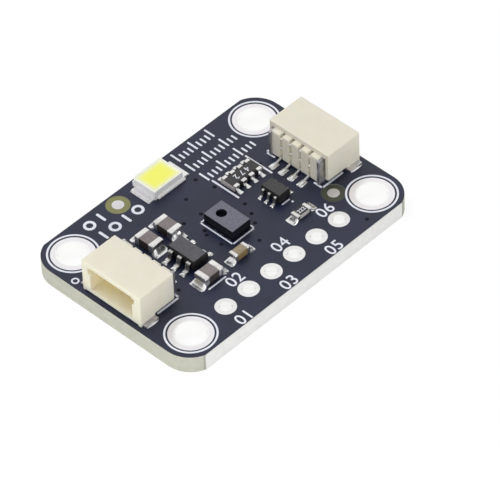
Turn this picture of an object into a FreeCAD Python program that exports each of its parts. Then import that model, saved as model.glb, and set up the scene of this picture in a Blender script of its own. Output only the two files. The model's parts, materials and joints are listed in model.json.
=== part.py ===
import FreeCAD, Part
import os
import re
import Sketcher

# Circuit module with a light sensor, a white lamp and two four-way sockets on one board.
# Millimetres. The origin is at the middle of the board's underside, +X along the long side
# and +Z up through the parts. "outward" always means away from the board's middle.

os.makedirs("parts", exist_ok=True)
doc = FreeCAD.newDocument("sensor_module")
sheet = doc.addObject("Spreadsheet::Sheet", "dims")

sizes = {
    "board": {
        "board_length": 25.4,
        "board_width": 17.48,
        "board_thickness": 1.6,
        "hole_inset": 2.54,
        "score_cut": 0.15,
        "mount_hole_radius": 1.25,
        "mount_land_radius": 1.8,
        "pin_pitch": 2.54,
        "pin_hole_radius": 0.5,
        "pin_land_radius": 0.866,
        "land_thickness": 0.07,
        "plating_thickness": 0.05,
        "mask_thickness": 0.03,
        "dot_radius": 0.5,
        "dot_opening_radius": 1.0,
        "rear_dot_x": -4.02,
        "rear_dot_setback": 1.15,
        "front_dot_from_hole_x": 1.95,
        "front_dot_from_hole_y": 2.3,
        "pad_thickness": 0.04,
        "solder_lip": 0.06,
        "solder_slope": 0.07,
        "solder_rise": 0.85,
        "solder_climb": 0.55,
        "print_thickness": 0.02,
    },
    "sockets": {
        "socket_setback": 0.43,
        "socket_width": 6.3,
        "socket_height": 3.1,
        "shell_depth": 3.67,
        "shell_rounding": 0.1,
        "side_recess": 0.43,
        "cavity_depth": 2.6,
        "cavity_width": 4.5,
        "cavity_floor": 0.4,
        "cavity_roof": 0.4,
        "key_depth": 0.25,
        "key_height": 0.65,
        "key_below_roof": 0.12,
        "floor_relief": 0.12,
        "floor_relief_depth": 2.2,
        "floor_relief_width": 5.7,
        "rib_depth": 0.45,
        "rib_height": 2.64,
        "rib_slope": 0.08,
        "rib_standoff": 0.18,
        "rib_margin": 0.98,
        "contact_pitch": 1.0,
        "contact_slot": 0.3,
        "slot_depth": 0.25,
        "contact_thickness": 0.2,
        "contact_plate_height": 2.33,
        "contact_plate_depth": 0.35,
        "contact_prong": 0.2,
        "contact_prong_low": 1.06,
        "contact_blade_low": 1.25,
        "contact_blade_height": 0.35,
        "contact_blade_length": 1.5,
        "foot_reach": 1.1,
        "foot_height": 0.12,
        "foot_ramp_length": 1.05,
        "foot_ramp_height": 0.22,
        "foot_ramp_level": 0.25,
        "socket_pad_width": 0.58,
        "socket_pad_margin": 0.18,
        "socket_pad_length": 0.9,
        "nail_thickness": 0.23,
        "nail_gap": 0.14,
        "nail_depth": 0.8,
        "nail_proud": 0.6,
        "nail_height": 2.6,
        "nail_rounding": 0.2,
        "nail_foot_height": 0.2,
        "nail_foot_length": 1.35,
        "nail_foot_setback": 0.17,
        "nail_foot_reach": 0.4,
        "nail_pad_reach": 0.5,
    },
    "lamp": {
        "lamp_x": -0.21,
        "lamp_setback": 0.52,
        "lamp_length": 3.14,
        "lamp_width": 2.52,
        "lamp_height": 0.9,
        "lamp_corner_cut": 0.38,
        "lamp_corner_depth": 0.4,
        "lamp_rounding": 0.05,
        "ledge_reach": 0.14,
        "ledge_height": 0.2,
        "ledge_length": 3.0,
        "ledge_shift": 0.23,
        "window_length": 2.72,
        "window_width": 2.1,
        "window_shift": 0.05,
        "window_corner": 0.34,
        "window_depth": 0.35,
        "window_fill_drop": 0.03,
        "lamp_lead_inside": 0.7,
        "lamp_lead_outside": 0.6,
        "lamp_lead_width": 2.1,
        "lamp_lead_thickness": 0.13,
        "lamp_lead_shift_x": 0.12,
        "lamp_lead_shift_y": 0.1,
        "lamp_pad_reach": 0.7,
    },
    "sensor": {
        "sensor_x": 0.05,
        "sensor_y": -0.37,
        "sensor_width": 2.0,
        "sensor_length": 3.1,
        "sensor_base_height": 0.3,
        "sensor_cap_height": 0.7,
        "sensor_rounding": 0.05,
        "aperture_x": -0.05,
        "aperture_y": 0.55,
        "aperture_radius": 0.44,
        "filter_height": 0.38,
        "sensor_pad_length": 0.6,
        "sensor_pad_width": 0.38,
        "sensor_pad_pitch": 0.72,
        "sensor_pad_reach": 0.09,
    },
    "regulator": {
        "regulator_gap_share": 0.2254,
        "regulator_y": -0.63,
        "regulator_width": 1.6,
        "regulator_length": 2.9,
        "regulator_height": 1.0,
        "regulator_standoff": 0.1,
        "regulator_draft": 0.09,
        "regulator_lead_pitch": 0.95,
        "regulator_lead_width": 0.4,
        "regulator_lead_thickness": 0.14,
        "regulator_lead_raise": 0.2,
        "regulator_knee": 0.18,
        "regulator_foot": 0.6,
        "regulator_pad_reach": 0.34,
        "regulator_pad_width": 0.56,
    },
    "shifter": {
        "shifter_gap_share": 0.2009,
        "shifter_y": -0.87,
        "shifter_width": 1.25,
        "shifter_length": 2.0,
        "shifter_height": 0.9,
        "shifter_standoff": 0.08,
        "shifter_draft": 0.07,
        "shifter_lead_pitch": 0.65,
        "shifter_lead_width": 0.22,
        "shifter_lead_thickness": 0.12,
        "shifter_lead_raise": 0.17,
        "shifter_knee": 0.14,
        "shifter_foot": 0.43,
        "shifter_pad_reach": 0.18,
        "shifter_pad_width": 0.36,
    },
    "array": {
        "array_gap_share": 0.2373,
        "array_y": 2.48,
        "array_length": 3.2,
        "array_width": 1.6,
        "array_height": 0.5,
        "array_pitch": 0.85,
        "array_terminal_width": 0.45,
        "array_terminal_depth": 0.3,
        "array_scallop_radius": 0.14,
        "array_pad_reach": 0.48,
        "array_pad_width": 0.45,
    },
    "chip resistor": {
        "resistor_from_shifter_x": -0.18,
        "resistor_y": -3.8,
        "resistor_length": 1.6,
        "resistor_width": 0.8,
        "resistor_height": 0.45,
        "resistor_band": 0.3,
        "resistor_pad_reach": 0.58,
        "resistor_pad_width": 0.98,
    },
    "capacitors": {
        "band_thickness": 0.02,
        "large_length": 2.0,
        "large_width": 1.25,
        "large_height": 0.85,
        "large_band": 0.5,
        "large_pad_reach": 0.55,
        "large_pad_width": 1.45,
        "small_length": 1.6,
        "small_width": 0.8,
        "small_height": 0.72,
        "small_band": 0.32,
        "small_pad_reach": 0.55,
        "small_pad_width": 0.93,
        "rear_capacitors_gap_share": 0.15,
        "rear_capacitors_y": 2.62,
        "supply_capacitor_from_regulator_x": -0.38,
        "supply_capacitor_y": -3.28,
        "sensor_capacitor_gap": 0.38,
        "sensor_capacitor_y": -3.38,
    },
    "print": {
        "line_width": 0.15,
        "ring_radius": 2.03,
        "ring_width": 0.16,
        "small_ring_setback": 0.57,
        "small_ring_from_hole_y": 2.22,
        "small_ring_radius": 0.265,
        "small_ring_width": 0.12,
        "bracket_gap": 0.1,
        "bracket_end_gap": 0.35,
        "bracket_inset": 0.85,
        "bracket_inside": 0.21,
        "figure_height": 1.05,
        "figure_width": 0.68,
        "figure_pitch": 0.95,
        "figure_stroke": 0.19,
        "figure_offset_front": 1.8,
        "figure_offset_rear": 1.49,
        "outline_gap": 0.14,
        "array_line_gap": 0.28,
        "array_line_length": 2.8,
        "shifter_line_length": 0.8,
        "shifter_line_gap": 0.1,
        "shifter_spot_radius": 0.1,
        "shifter_spot_x": 0.4,
        "shifter_spot_gap": 0.45,
        "supply_line_gap": 0.24,
        "scale_from_lamp": 1.39,
        "scale_row_pitch": 1.58,
        "scale_setback": 0.84,
        "scale_tick_pitch": 0.48,
        "scale_tick_height": 1.15,
        "name_from_hole_x": 3.01,
        "name_setback": 1.16,
        "name_mark": 1.05,
        "name_pitch": 1.26,
        "name_row_pitch": 1.55,
        "name_stroke": 0.24,
    },
}

# Places that follow the sizes. A gap share is the part of the free room on a part's outer side.
places = {
    "mount_x": "board_length / 2 - hole_inset",
    "mount_y": "board_width / 2 + score_cut - hole_inset",
    "rear_dot_y": "board_width / 2 - rear_dot_setback",
    "front_dot_x": "mount_x - front_dot_from_hole_x",
    "front_dot_y": "front_dot_from_hole_y - mount_y",
    "lamp_y": "board_width / 2 - lamp_setback - lamp_width / 2",
    "room_end": "board_length / 2 - socket_setback - shell_depth - rib_depth - foot_reach"
                " - socket_pad_margin",
    "sensor_left": "sensor_x - sensor_width / 2 - sensor_pad_reach",
    "sensor_right": "sensor_x + sensor_width / 2 + sensor_pad_reach",
    "regulator_half": "regulator_width / 2 + regulator_foot + regulator_pad_reach",
    "regulator_room": "room_end + sensor_left - 2 * regulator_half",
    "regulator_x": "regulator_gap_share * regulator_room + regulator_half - room_end",
    "shifter_half": "shifter_width / 2 + shifter_foot + shifter_pad_reach",
    "shifter_room": "room_end - sensor_right - 2 * shifter_half",
    "shifter_x": "room_end - shifter_half - shifter_gap_share * shifter_room",
    "array_room": "room_end - sensor_right - array_length",
    "array_x": "room_end - array_length / 2 - array_gap_share * array_room",
    "resistor_x": "shifter_x + resistor_from_shifter_x",
    "rear_capacitors_gap": "rear_capacitors_gap_share * (room_end - 2 * large_pad_width)",
    "output_capacitor_x": "rear_capacitors_gap + large_pad_width / 2 - room_end",
    "input_capacitor_x": "output_capacitor_x + large_pad_width + rear_capacitors_gap",
    "supply_capacitor_x": "regulator_x + supply_capacitor_from_regulator_x",
    "sensor_capacitor_x": "supply_capacitor_x + large_length / 2 + large_pad_reach"
                          " + sensor_capacitor_gap + small_pad_reach + small_length / 2",
    "small_ring_x": "small_ring_setback - board_length / 2",
    "small_ring_y": "mount_y - small_ring_from_hole_y",
    "scale_x": "lamp_x + lamp_length / 2 + scale_from_lamp",
    "scale_top_y": "board_width / 2 - scale_setback",
    "name_x": "name_from_hole_x - mount_x",
    "name_y": "board_width / 2 - name_setback",
}

row = 0
aliases = set()
for heading, cells in (*sizes.items(), ("places", places)):
    row += 1
    sheet.set(f"A{row}", heading)
    for alias, value in cells.items():
        row += 1
        sheet.set(f"A{row}", alias)
        sheet.set(f"B{row}", f"={value}")
        sheet.setAlias(f"B{row}", alias)
        aliases.add(alias)
doc.recompute()


def formula(text):
    """The formula with each cell's name written as a reference to the sheet."""
    def refer(found):
        word = found.group()
        return f"dims.{word}" if word in aliases else word
    return re.sub(r"[a-z][a-z_]*", refer, str(text))


def size(alias):
    return float(sheet.get(alias))


def turned(span):
    low, high = span
    return f"-({high})", f"-({low})"


def moved(span, centre):
    low, high = span
    return f"({centre}) + ({low})", f"({centre}) + ({high})"


def about(width, centre="0"):
    """A span of the given width, centred."""
    return f"({centre}) - ({width}) / 2", f"({centre}) + ({width}) / 2"


class Seat:
    """A part's own place and direction: along runs outward, across runs beside it."""

    def __init__(self, axis="x", x="0", y="0", flipped=False):
        self.axis = axis
        self.x = x
        self.y = y
        self.flipped = flipped

    def spans(self, along, across):
        if self.flipped:
            along = turned(along)
        if self.axis == "x":
            return moved(along, self.x), moved(across, self.y)
        return moved(across, self.x), moved(along, self.y)


middle = Seat()


def block(name, along, across, height, seat=middle):
    span_x, span_y = seat.spans(along, across)
    box = doc.addObject("Part::Box", name)
    for prop, axis, span in (("Length", "x", span_x), ("Width", "y", span_y), ("Height", "z", height)):
        low, high = span
        box.setExpression(prop, formula(f"({high}) - ({low})"))
        box.setExpression(f"Placement.Base.{axis}", formula(low))
    return box


def taper(name, base, top, height, seat=middle):
    """A block whose top is smaller than its base, each given as its along and across spans."""
    base_x, base_y = seat.spans(*base)
    top_x, top_y = seat.spans(*top)
    wedge = doc.addObject("Part::Wedge", name)
    back_y = turned(base_y)
    back_top_y = turned(top_y)
    bounds = {
        "Xmin": base_x[0], "Xmax": base_x[1], "X2min": top_x[0], "X2max": top_x[1],
        "Zmin": back_y[0], "Zmax": back_y[1], "Z2min": back_top_y[0], "Z2max": back_top_y[1],
        "Ymin": height[0], "Ymax": height[1],
    }
    for prop, text in bounds.items():
        wedge.setExpression(prop, formula(text))
    wedge.Placement = FreeCAD.Placement(FreeCAD.Vector(), FreeCAD.Rotation(FreeCAD.Vector(1, 0, 0), 90))
    return wedge


def disc(name, x, y, radius, height):
    cylinder = doc.addObject("Part::Cylinder", name)
    low, high = height
    cylinder.setExpression("Radius", formula(radius))
    cylinder.setExpression("Height", formula(f"({high}) - ({low})"))
    cylinder.setExpression("Placement.Base.x", formula(x))
    cylinder.setExpression("Placement.Base.y", formula(y))
    cylinder.setExpression("Placement.Base.z", formula(low))
    return cylinder


def fuse(name, shapes):
    joined = doc.addObject("Part::MultiFuse", name)
    joined.Shapes = shapes
    joined.Refine = True
    return joined


def cut(name, base, tools):
    trimmed = doc.addObject("Part::Cut", name)
    trimmed.Base = base
    trimmed.Tool = tools[0] if len(tools) == 1 else fuse(name + "_tools", tools)
    trimmed.Refine = True
    return trimmed


def group(name, solids):
    """Several like solids that share one node."""
    together = doc.addObject("Part::Compound", name)
    together.Links = solids
    return together


def rounded(name, base, radius, chosen):
    """Round the edges whose middle and direction the given test accepts."""
    doc.recompute()
    result = doc.addObject("Part::Fillet", name)
    result.Base = base
    edges = []
    for number, edge in enumerate(base.Shape.Edges, 1):
        centre = edge.CenterOfMass
        direction = edge.Vertexes[-1].Point - edge.Vertexes[0].Point
        if direction.Length > 0 and chosen(centre, direction.normalize()):
            edges.append((number, radius, radius))
    result.Edges = edges
    return result


nodes = []


def node(label, shape):
    """Register a finished sub-part under the name that its file takes."""
    shape.Label = label
    nodes.append(shape)
    return shape


board_top = "board_thickness"
pad_top = "board_thickness + pad_thickness"


def above(level, low, high):
    return f"{level} + ({low})", f"{level} + ({high})"


# The board: a padded outline, pocketed for the plated holes and for the mask openings.

def plane_of(body, role):
    for feature in body.Origin.OriginFeatures:
        if feature.Role == role:
            return feature
    raise ValueError(role)


def board_sketch(body, name, level="0"):
    sketch = body.newObject("Sketcher::SketchObject", name)
    sketch.AttachmentSupport = [(plane_of(body, "XY_Plane"), "")]
    sketch.MapMode = "FlatFace"
    sketch.setExpression("AttachmentOffset.Base.z", formula(level))
    return sketch


def bind_distance(sketch, kind, first, first_point, value, text):
    """Hold a point of the sketch at a signed distance from the origin."""
    index = sketch.addConstraint(Sketcher.Constraint(kind, -1, 1, first, first_point, value))
    sketch.setExpression(f"Constraints[{index}]", formula(text))


def add_circle(sketch, x, y, radius):
    """A circle whose centre and radius follow the sheet."""
    centre = FreeCAD.Vector(value_of(x), value_of(y), 0)
    circle = sketch.addGeometry(Part.Circle(centre, FreeCAD.Vector(0, 0, 1), value_of(radius)))
    index = sketch.addConstraint(Sketcher.Constraint("Radius", circle, value_of(radius)))
    sketch.setExpression(f"Constraints[{index}]", formula(radius))
    bind_distance(sketch, "DistanceX", circle, 3, centre.x, x)
    bind_distance(sketch, "DistanceY", circle, 3, centre.y, y)


def value_of(text):
    """A formula's number with the sheet's present values."""
    return float(sheet.evalExpression(str(text)))


half_length = "board_length / 2"
half_width = "board_width / 2"

board = doc.addObject("PartDesign::Body", "board")
outline = board_sketch(board, "board_outline")
cx = size("mount_x")
cy = size("mount_y")
hx = value_of(half_length)
hy = value_of(half_width)
corner_radius = size("hole_inset")
reach = (corner_radius ** 2 - (hy - cy) ** 2) ** 0.5
up = FreeCAD.Vector(0, 0, 1)


def corner_arc(sign_x, sign_y):
    """A corner arc about its mounting hole, from the long edge to the short one or back."""
    centre = FreeCAD.Vector(sign_x * cx, sign_y * cy, 0)
    on_long = FreeCAD.Vector(sign_x * (cx + reach), sign_y * hy, 0)
    on_short = FreeCAD.Vector(sign_x * hx, sign_y * cy, 0)
    middle_of_arc = centre + ((on_long - centre) + (on_short - centre)).normalize() * corner_radius
    ends = (on_long, on_short) if sign_x * sign_y < 0 else (on_short, on_long)
    return Part.Arc(ends[0], middle_of_arc, ends[1])


def point(x, y):
    return FreeCAD.Vector(x, y, 0)


# Anticlockwise from the front edge.
front = outline.addGeometry(Part.LineSegment(point(-cx - reach, -hy), point(cx + reach, -hy)))
front_right = outline.addGeometry(corner_arc(1, -1))
right = outline.addGeometry(Part.LineSegment(point(hx, -cy), point(hx, cy)))
rear_right = outline.addGeometry(corner_arc(1, 1))
rear = outline.addGeometry(Part.LineSegment(point(cx + reach, hy), point(-cx - reach, hy)))
rear_left = outline.addGeometry(corner_arc(-1, 1))
left = outline.addGeometry(Part.LineSegment(point(-hx, cy), point(-hx, -cy)))
front_left = outline.addGeometry(corner_arc(-1, -1))
for side in (front, rear):
    outline.addConstraint(Sketcher.Constraint("Horizontal", side))
for side in (left, right):
    outline.addConstraint(Sketcher.Constraint("Vertical", side))
for first, second in ((front, front_right), (rear_right, rear), (rear, rear_left), (front_left, front)):
    outline.addConstraint(Sketcher.Constraint("Coincident", first, 2, second, 1))
for first, second in ((front_right, right), (right, rear_right), (rear_left, left), (left, front_left)):
    outline.addConstraint(Sketcher.Constraint("Tangent", first, 2, second, 1))
for arc, sign_x, sign_y in ((front_right, "", "-"), (rear_right, "", ""), (rear_left, "-", ""),
                            (front_left, "-", "-")):
    x_text = f"{sign_x}mount_x"
    y_text = f"{sign_y}mount_y"
    bind_distance(outline, "DistanceX", arc, 3, value_of(x_text), x_text)
    bind_distance(outline, "DistanceY", arc, 3, value_of(y_text), y_text)
bind_distance(outline, "DistanceY", front, 1, -hy, f"-({half_width})")
bind_distance(outline, "DistanceY", rear, 1, hy, half_width)
bind_distance(outline, "DistanceX", right, 1, hx, half_length)
bind_distance(outline, "DistanceX", left, 1, -hx, f"-({half_length})")

blank = board.newObject("PartDesign::Pad", "board_blank")
blank.Profile = outline
blank.setExpression("Length", formula("board_thickness"))
doc.recompute()

mount_places = [(f"{a}mount_x", f"{b}mount_y") for a in ("-", "") for b in ("-", "")]
pin_count = 6
pin_places = [(f"({i} - {(pin_count - 1) / 2}) * pin_pitch", "-mount_y") for i in range(pin_count)]
dot_places = [("rear_dot_x", "rear_dot_y"), ("front_dot_x", "front_dot_y")]


def pocket(name, circles, level, depth=None, upward=False):
    """Cut the circles out of the board, right through or to the depth given."""
    sketch = board_sketch(board, name + "_circles", level)
    for x, y, radius in circles:
        add_circle(sketch, x, y, radius)
    hole = board.newObject("PartDesign::Pocket", name)
    hole.Profile = sketch
    hole.Reversed = upward
    if depth is None:
        hole.Type = "ThroughAll"
    else:
        hole.setExpression("Length", formula(depth))
    doc.recompute()


drilled = [(x, y, "mount_hole_radius + plating_thickness") for x, y in mount_places]
drilled += [(x, y, "pin_hole_radius + plating_thickness") for x, y in pin_places]
lands = [(x, y, "mount_land_radius") for x, y in mount_places]
lands += [(x, y, "pin_land_radius") for x, y in pin_places]
openings = [(x, y, "dot_opening_radius") for x, y in dot_places]
pocket("drilled_holes", drilled, board_top)
pocket("top_land_seats", lands, board_top, "land_thickness")
pocket("bottom_land_seats", lands, "0", "land_thickness", upward=True)
pocket("mask_openings", openings, board_top, "mask_thickness")
node("circuit_board", board)


# Plated holes: a tube through the board with a flat ring on each face, level with the faces.

def plated_hole(label, x, y, hole_radius, land_radius):
    tube = disc(label + "_tube", x, y, f"{hole_radius} + plating_thickness", ("0", board_top))
    top_ring = disc(label + "_top_ring", x, y, land_radius, (f"{board_top} - land_thickness", board_top))
    bottom_ring = disc(label + "_bottom_ring", x, y, land_radius, ("0", "land_thickness"))
    bore = disc(label + "_bore", x, y, hole_radius, ("0", board_top))
    node(label, cut(label, fuse(label + "_body", [tube, top_ring, bottom_ring]), [bore]))


for number, (x, y) in enumerate(mount_places, 1):
    plated_hole(f"mounting_land_{number}", x, y, "mount_hole_radius", "mount_land_radius")
for number, (x, y) in enumerate(pin_places, 1):
    plated_hole(f"header_land_{number}", x, y, "pin_hole_radius", "pin_land_radius")
for label, (x, y) in zip(("rear_alignment_dot", "front_alignment_dot"), dot_places):
    node(label, disc(label, x, y, "dot_radius", (f"{board_top} - mask_thickness", board_top)))


# Side-entry sockets. Distances are outward from the board's middle.

mouth = "board_length / 2 - socket_setback"
shell_back = f"{mouth} - shell_depth"
rib_back = f"{shell_back} - rib_depth"
slot_end = f"{shell_back} + slot_depth"
cavity_back = f"{mouth} - cavity_depth"
foot_tip = f"{rib_back} - foot_reach"
nail_inside = "1.5 * contact_pitch + rib_margin"
nail_outside = f"{nail_inside} + nail_thickness"
contact_count = 4
contact_offsets = [f"({i} - {(contact_count - 1) / 2}) * contact_pitch" for i in range(contact_count)]
nail_foot_top = "pad_thickness + nail_foot_height"
nail_foot_end = f"{mouth} - nail_foot_setback"
nail_foot_span = (f"{nail_foot_end} - nail_foot_length", nail_foot_end)
roof_underside = "socket_height - cavity_roof"


def mirrored(span, sign):
    return span if sign > 0 else turned(span)


def socket_housing(side, seat):
    outer = block(side + "_shell", (shell_back, mouth), about("socket_width"),
                  above(board_top, "0", "socket_height"), seat)
    top_z = value_of("board_thickness + socket_height")
    shell = rounded(side + "_shell_rounded", outer, size("shell_rounding"),
                    lambda centre, way: abs(centre.z - top_z) < 0.01 or abs(way.z) > 0.99)
    ribs = taper(side + "_rib_tops", ((rib_back, shell_back), about(f"2 * ({nail_inside})")),
                 ((f"{rib_back} + rib_slope", shell_back), about(f"2 * ({nail_inside})")),
                 above(board_top, "rib_height - rib_slope", "rib_height"), seat)
    rib_block = block(side + "_rib_block", (rib_back, shell_back), about(f"2 * ({nail_inside})"),
                      above(board_top, "rib_standoff", "rib_height - rib_slope"), seat)
    solid = fuse(side + "_housing_solid", [shell, ribs, rib_block])
    tools = [
        block(side + "_cavity", (cavity_back, mouth), about("cavity_width"),
              above(board_top, "cavity_floor", roof_underside), seat),
        block(side + "_keys", (cavity_back, mouth), about("cavity_width + 2 * key_depth"),
              above(board_top, f"{roof_underside} - key_below_roof - key_height",
                    f"{roof_underside} - key_below_roof"), seat),
        block(side + "_relief", (f"{mouth} - floor_relief_depth", mouth), about("floor_relief_width"),
              above(board_top, "0", "floor_relief"), seat),
    ]
    for number, offset in enumerate(contact_offsets, 1):
        tools.append(block(f"{side}_slot_{number}", (rib_back, slot_end), about("contact_slot", offset),
                           above(board_top, "0", "rib_height"), seat))
        tools.append(block(f"{side}_blade_hole_{number}", (slot_end, cavity_back),
                           about("contact_thickness", offset),
                           above(board_top, "contact_blade_low", "contact_blade_low + contact_blade_height"),
                           seat))
    for sign in (-1, 1):
        tools.append(block(f"{side}_side_recess_{sign + 2}", (shell_back, nail_foot_span[0]),
                           mirrored((nail_outside, "socket_width / 2"), sign),
                           above(board_top, "0", "side_recess"), seat))
        tools.append(block(f"{side}_nail_slot_{sign + 2}", (shell_back, f"{shell_back} + nail_depth"),
                           mirrored((nail_inside, f"{nail_outside} + nail_gap"), sign),
                           above(board_top, "0", "nail_height"), seat))
        tools.append(block(f"{side}_strip_groove_{sign + 2}", (shell_back, nail_foot_end),
                           mirrored((nail_inside, nail_outside), sign),
                           above(board_top, "0", nail_foot_top), seat))
        tools.append(block(f"{side}_foot_groove_{sign + 2}", nail_foot_span,
                           mirrored((nail_inside, "socket_width / 2"), sign),
                           above(board_top, "0", nail_foot_top), seat))
    node(side + "_socket_housing", cut(side + "_housing", solid, tools))


def contact(side, number, offset, seat):
    """One stamped contact: blade in the mouth, plate with two prongs, ramp and foot on the board."""
    name = f"{side}_contact_{number}"
    thick = about("contact_thickness", offset)
    plate_back = f"{slot_end} - contact_plate_depth"
    plate = block(name + "_plate", (plate_back, slot_end), thick,
                  above(pad_top, "0", "contact_plate_height"), seat)
    prongs = [block(f"{name}_prong_{place}", (f"{plate_back} - contact_prong", plate_back), thick,
                    above(pad_top, low, f"{low} + contact_prong"), seat)
              for place, low in (("low", "contact_prong_low"),
                                 ("high", "contact_plate_height - contact_prong"))]
    blade = block(name + "_blade", (slot_end, f"{cavity_back} + contact_blade_length"), thick,
                  above(board_top, "contact_blade_low", "contact_blade_low + contact_blade_height"), seat)
    foot = block(name + "_foot", (foot_tip, plate_back), thick, above(pad_top, "0", "foot_height"), seat)
    ramp = taper(name + "_ramp", ((f"{plate_back} - foot_ramp_length", plate_back), thick),
                 ((f"{plate_back} - foot_ramp_level", plate_back), thick),
                 above(pad_top, "foot_height", "foot_height + foot_ramp_height"), seat)
    node(f"{side}_socket_contact_{number}", fuse(name, [plate, *prongs, blade, foot, ramp]))


def nail(side, sign, seat):
    """The metal piece that anchors one end of a socket: upright blade, strip and soldered foot."""
    name = f"{side}_nail_{sign + 2}"
    end = "rear" if sign > 0 else "front"
    thick = mirrored((nail_inside, nail_outside), sign)
    nail_back = f"{shell_back} - nail_proud"
    blade = block(name + "_blade", (nail_back, f"{shell_back} + nail_depth"), thick,
                  above(pad_top, "0", "nail_height - pad_thickness"), seat)
    top_z = value_of(f"{board_top} + nail_height")
    back_x = value_of(nail_back)
    upright = rounded(name + "_upright", blade, size("nail_rounding"),
                      lambda centre, way: abs(centre.z - top_z) < 0.01
                      and abs(abs(centre.x) - back_x) < 0.01)
    strip = block(name + "_strip", (nail_back, nail_foot_end), thick,
                  above(pad_top, "0", "nail_foot_height"), seat)
    foot = block(name + "_foot", nail_foot_span,
                 mirrored((nail_inside, "socket_width / 2 + nail_foot_reach"), sign),
                 above(pad_top, "0", "nail_foot_height"), seat)
    node(f"{side}_socket_{end}_nail", fuse(name, [upright, strip, foot]))


def mound(name, seat, along, across, height, foot, slope="solder_slope"):
    """A pad with solder heaped round a foot, higher in the middle than at the pad's edge."""
    pad = block(name + "_pad", along, across, above(board_top, "0", "pad_thickness"), seat)
    low_a, high_a = along
    low_b, high_b = across
    shrunk = ((f"{low_a} + {slope}", f"{high_a} - {slope}"), (f"{low_b} + {slope}", f"{high_b} - {slope}"))
    heap = taper(name + "_heap", (along, across), shrunk, above(pad_top, "0", height), seat)
    return fuse(name, [pad, cut(name + "_round_foot", heap, [foot])])


def socket_solder(side, seat):
    joints = []
    pad_start = f"{foot_tip} - socket_pad_margin"
    pad_span = (pad_start, f"{pad_start} + socket_pad_length")
    for number, offset in enumerate(contact_offsets, 1):
        foot = block(f"{side}_foot_space_{number}", (foot_tip, rib_back), about("contact_thickness", offset),
                     above(pad_top, "0", "foot_height"), seat)
        joints.append(mound(f"{side}_contact_joint_{number}", seat, pad_span,
                            about("socket_pad_width", offset), "foot_height * solder_rise", foot,
                            "2 * solder_slope"))
    for sign in (-1, 1):
        joints.append(block(f"{side}_nail_pad_{sign + 2}", nail_foot_span,
                            mirrored((nail_inside, "socket_width / 2 + nail_pad_reach"), sign),
                            above(board_top, "0", "pad_thickness"), seat))
    node(side + "_socket_solder", group(side + "_solder", joints))


for side, seat in (("left", Seat(flipped=True)), ("right", Seat())):
    socket_housing(side, seat)
    for number, offset in enumerate(contact_offsets, 1):
        contact(side, number, offset, seat)
    for sign in (-1, 1):
        nail(side, sign, seat)
    socket_solder(side, seat)


# White lamp: a moulded frame with a filled window, on two flat leads.

def lamp():
    seat = Seat(x="lamp_x", y="lamp_y")
    outer = block("lamp_block", about("lamp_length"), about("lamp_width"),
                  above(pad_top, "0", "lamp_height"), seat)
    top_z = value_of(f"{pad_top} + lamp_height")
    frame = rounded("lamp_rounded", outer, size("lamp_rounding"),
                    lambda centre, way: abs(centre.z - top_z) < 0.01 or abs(way.z) > 0.99)
    ledge = block("lamp_ledge", about("ledge_length", "ledge_shift"),
                  ("-lamp_width / 2 - ledge_reach", "-lamp_width / 2 + ledge_reach"),
                  above(pad_top, "0", "ledge_height"), seat)
    corner = block("lamp_corner", ("-lamp_length / 2", "-lamp_length / 2 + lamp_corner_cut"),
                   ("lamp_width / 2 - lamp_corner_cut / 2", "lamp_width / 2"),
                   above(pad_top, "lamp_height - lamp_corner_depth", "lamp_height"), seat)
    window_low = "lamp_height - window_depth"
    window_seat = Seat(x="lamp_x", y="lamp_y - window_shift")
    tools = [corner, lamp_window("lamp_window", window_seat, window_low, "lamp_height")]
    leads = []
    solder = []
    for name, flipped in (("left", True), ("right", False)):
        end = Seat(x="lamp_x + lamp_lead_shift_x", y="lamp_y - lamp_lead_shift_y", flipped=flipped)
        lead_span = ("lamp_length / 2 - lamp_lead_inside", "lamp_length / 2 + lamp_lead_outside")
        lead = block(f"lamp_lead_{name}", lead_span, about("lamp_lead_width"),
                     above(pad_top, "0", "lamp_lead_thickness"), end)
        leads.append((name, lead))
        tools.append(lead)
        pad_span = ("lamp_length / 2 - lamp_lead_inside", "lamp_length / 2 + lamp_pad_reach")
        pad = block(f"lamp_pad_{name}", pad_span, about("lamp_lead_width"),
                    above(board_top, "0", "pad_thickness"), end)
        outside = "lamp_length / 2 + lamp_lead_outside"
        heap = taper(f"lamp_heap_{name}",
                     ((outside, "lamp_length / 2 + lamp_pad_reach"), about("lamp_lead_width")),
                     ((outside, f"{outside} + solder_lip"), about("lamp_lead_width * 0.9")),
                     above(pad_top, "0", "lamp_lead_thickness"), end)
        solder.append(fuse(f"lamp_joint_{name}", [pad, heap]))
    node("lamp_body", cut("lamp", fuse("lamp_solid", [frame, ledge]), tools))
    node("lamp_phosphor", lamp_window("lamp_fill", window_seat, window_low, "lamp_height - window_fill_drop"))
    for name, lead in leads:
        node(f"lamp_{name}_lead", lead)
    node("lamp_solder", group("lamp_joints", solder))


def lamp_window(name, seat, low, high):
    """The window's shape, a box with round upright edges."""
    box = block(name + "_box", about("window_length"), about("window_width"),
                above(pad_top, low, high), seat)
    return rounded(name, box, size("window_corner"), lambda centre, way: abs(way.z) > 0.99)


lamp()


# Light sensor: a flat base, and a dark cap with one round aperture over a filter.

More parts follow.
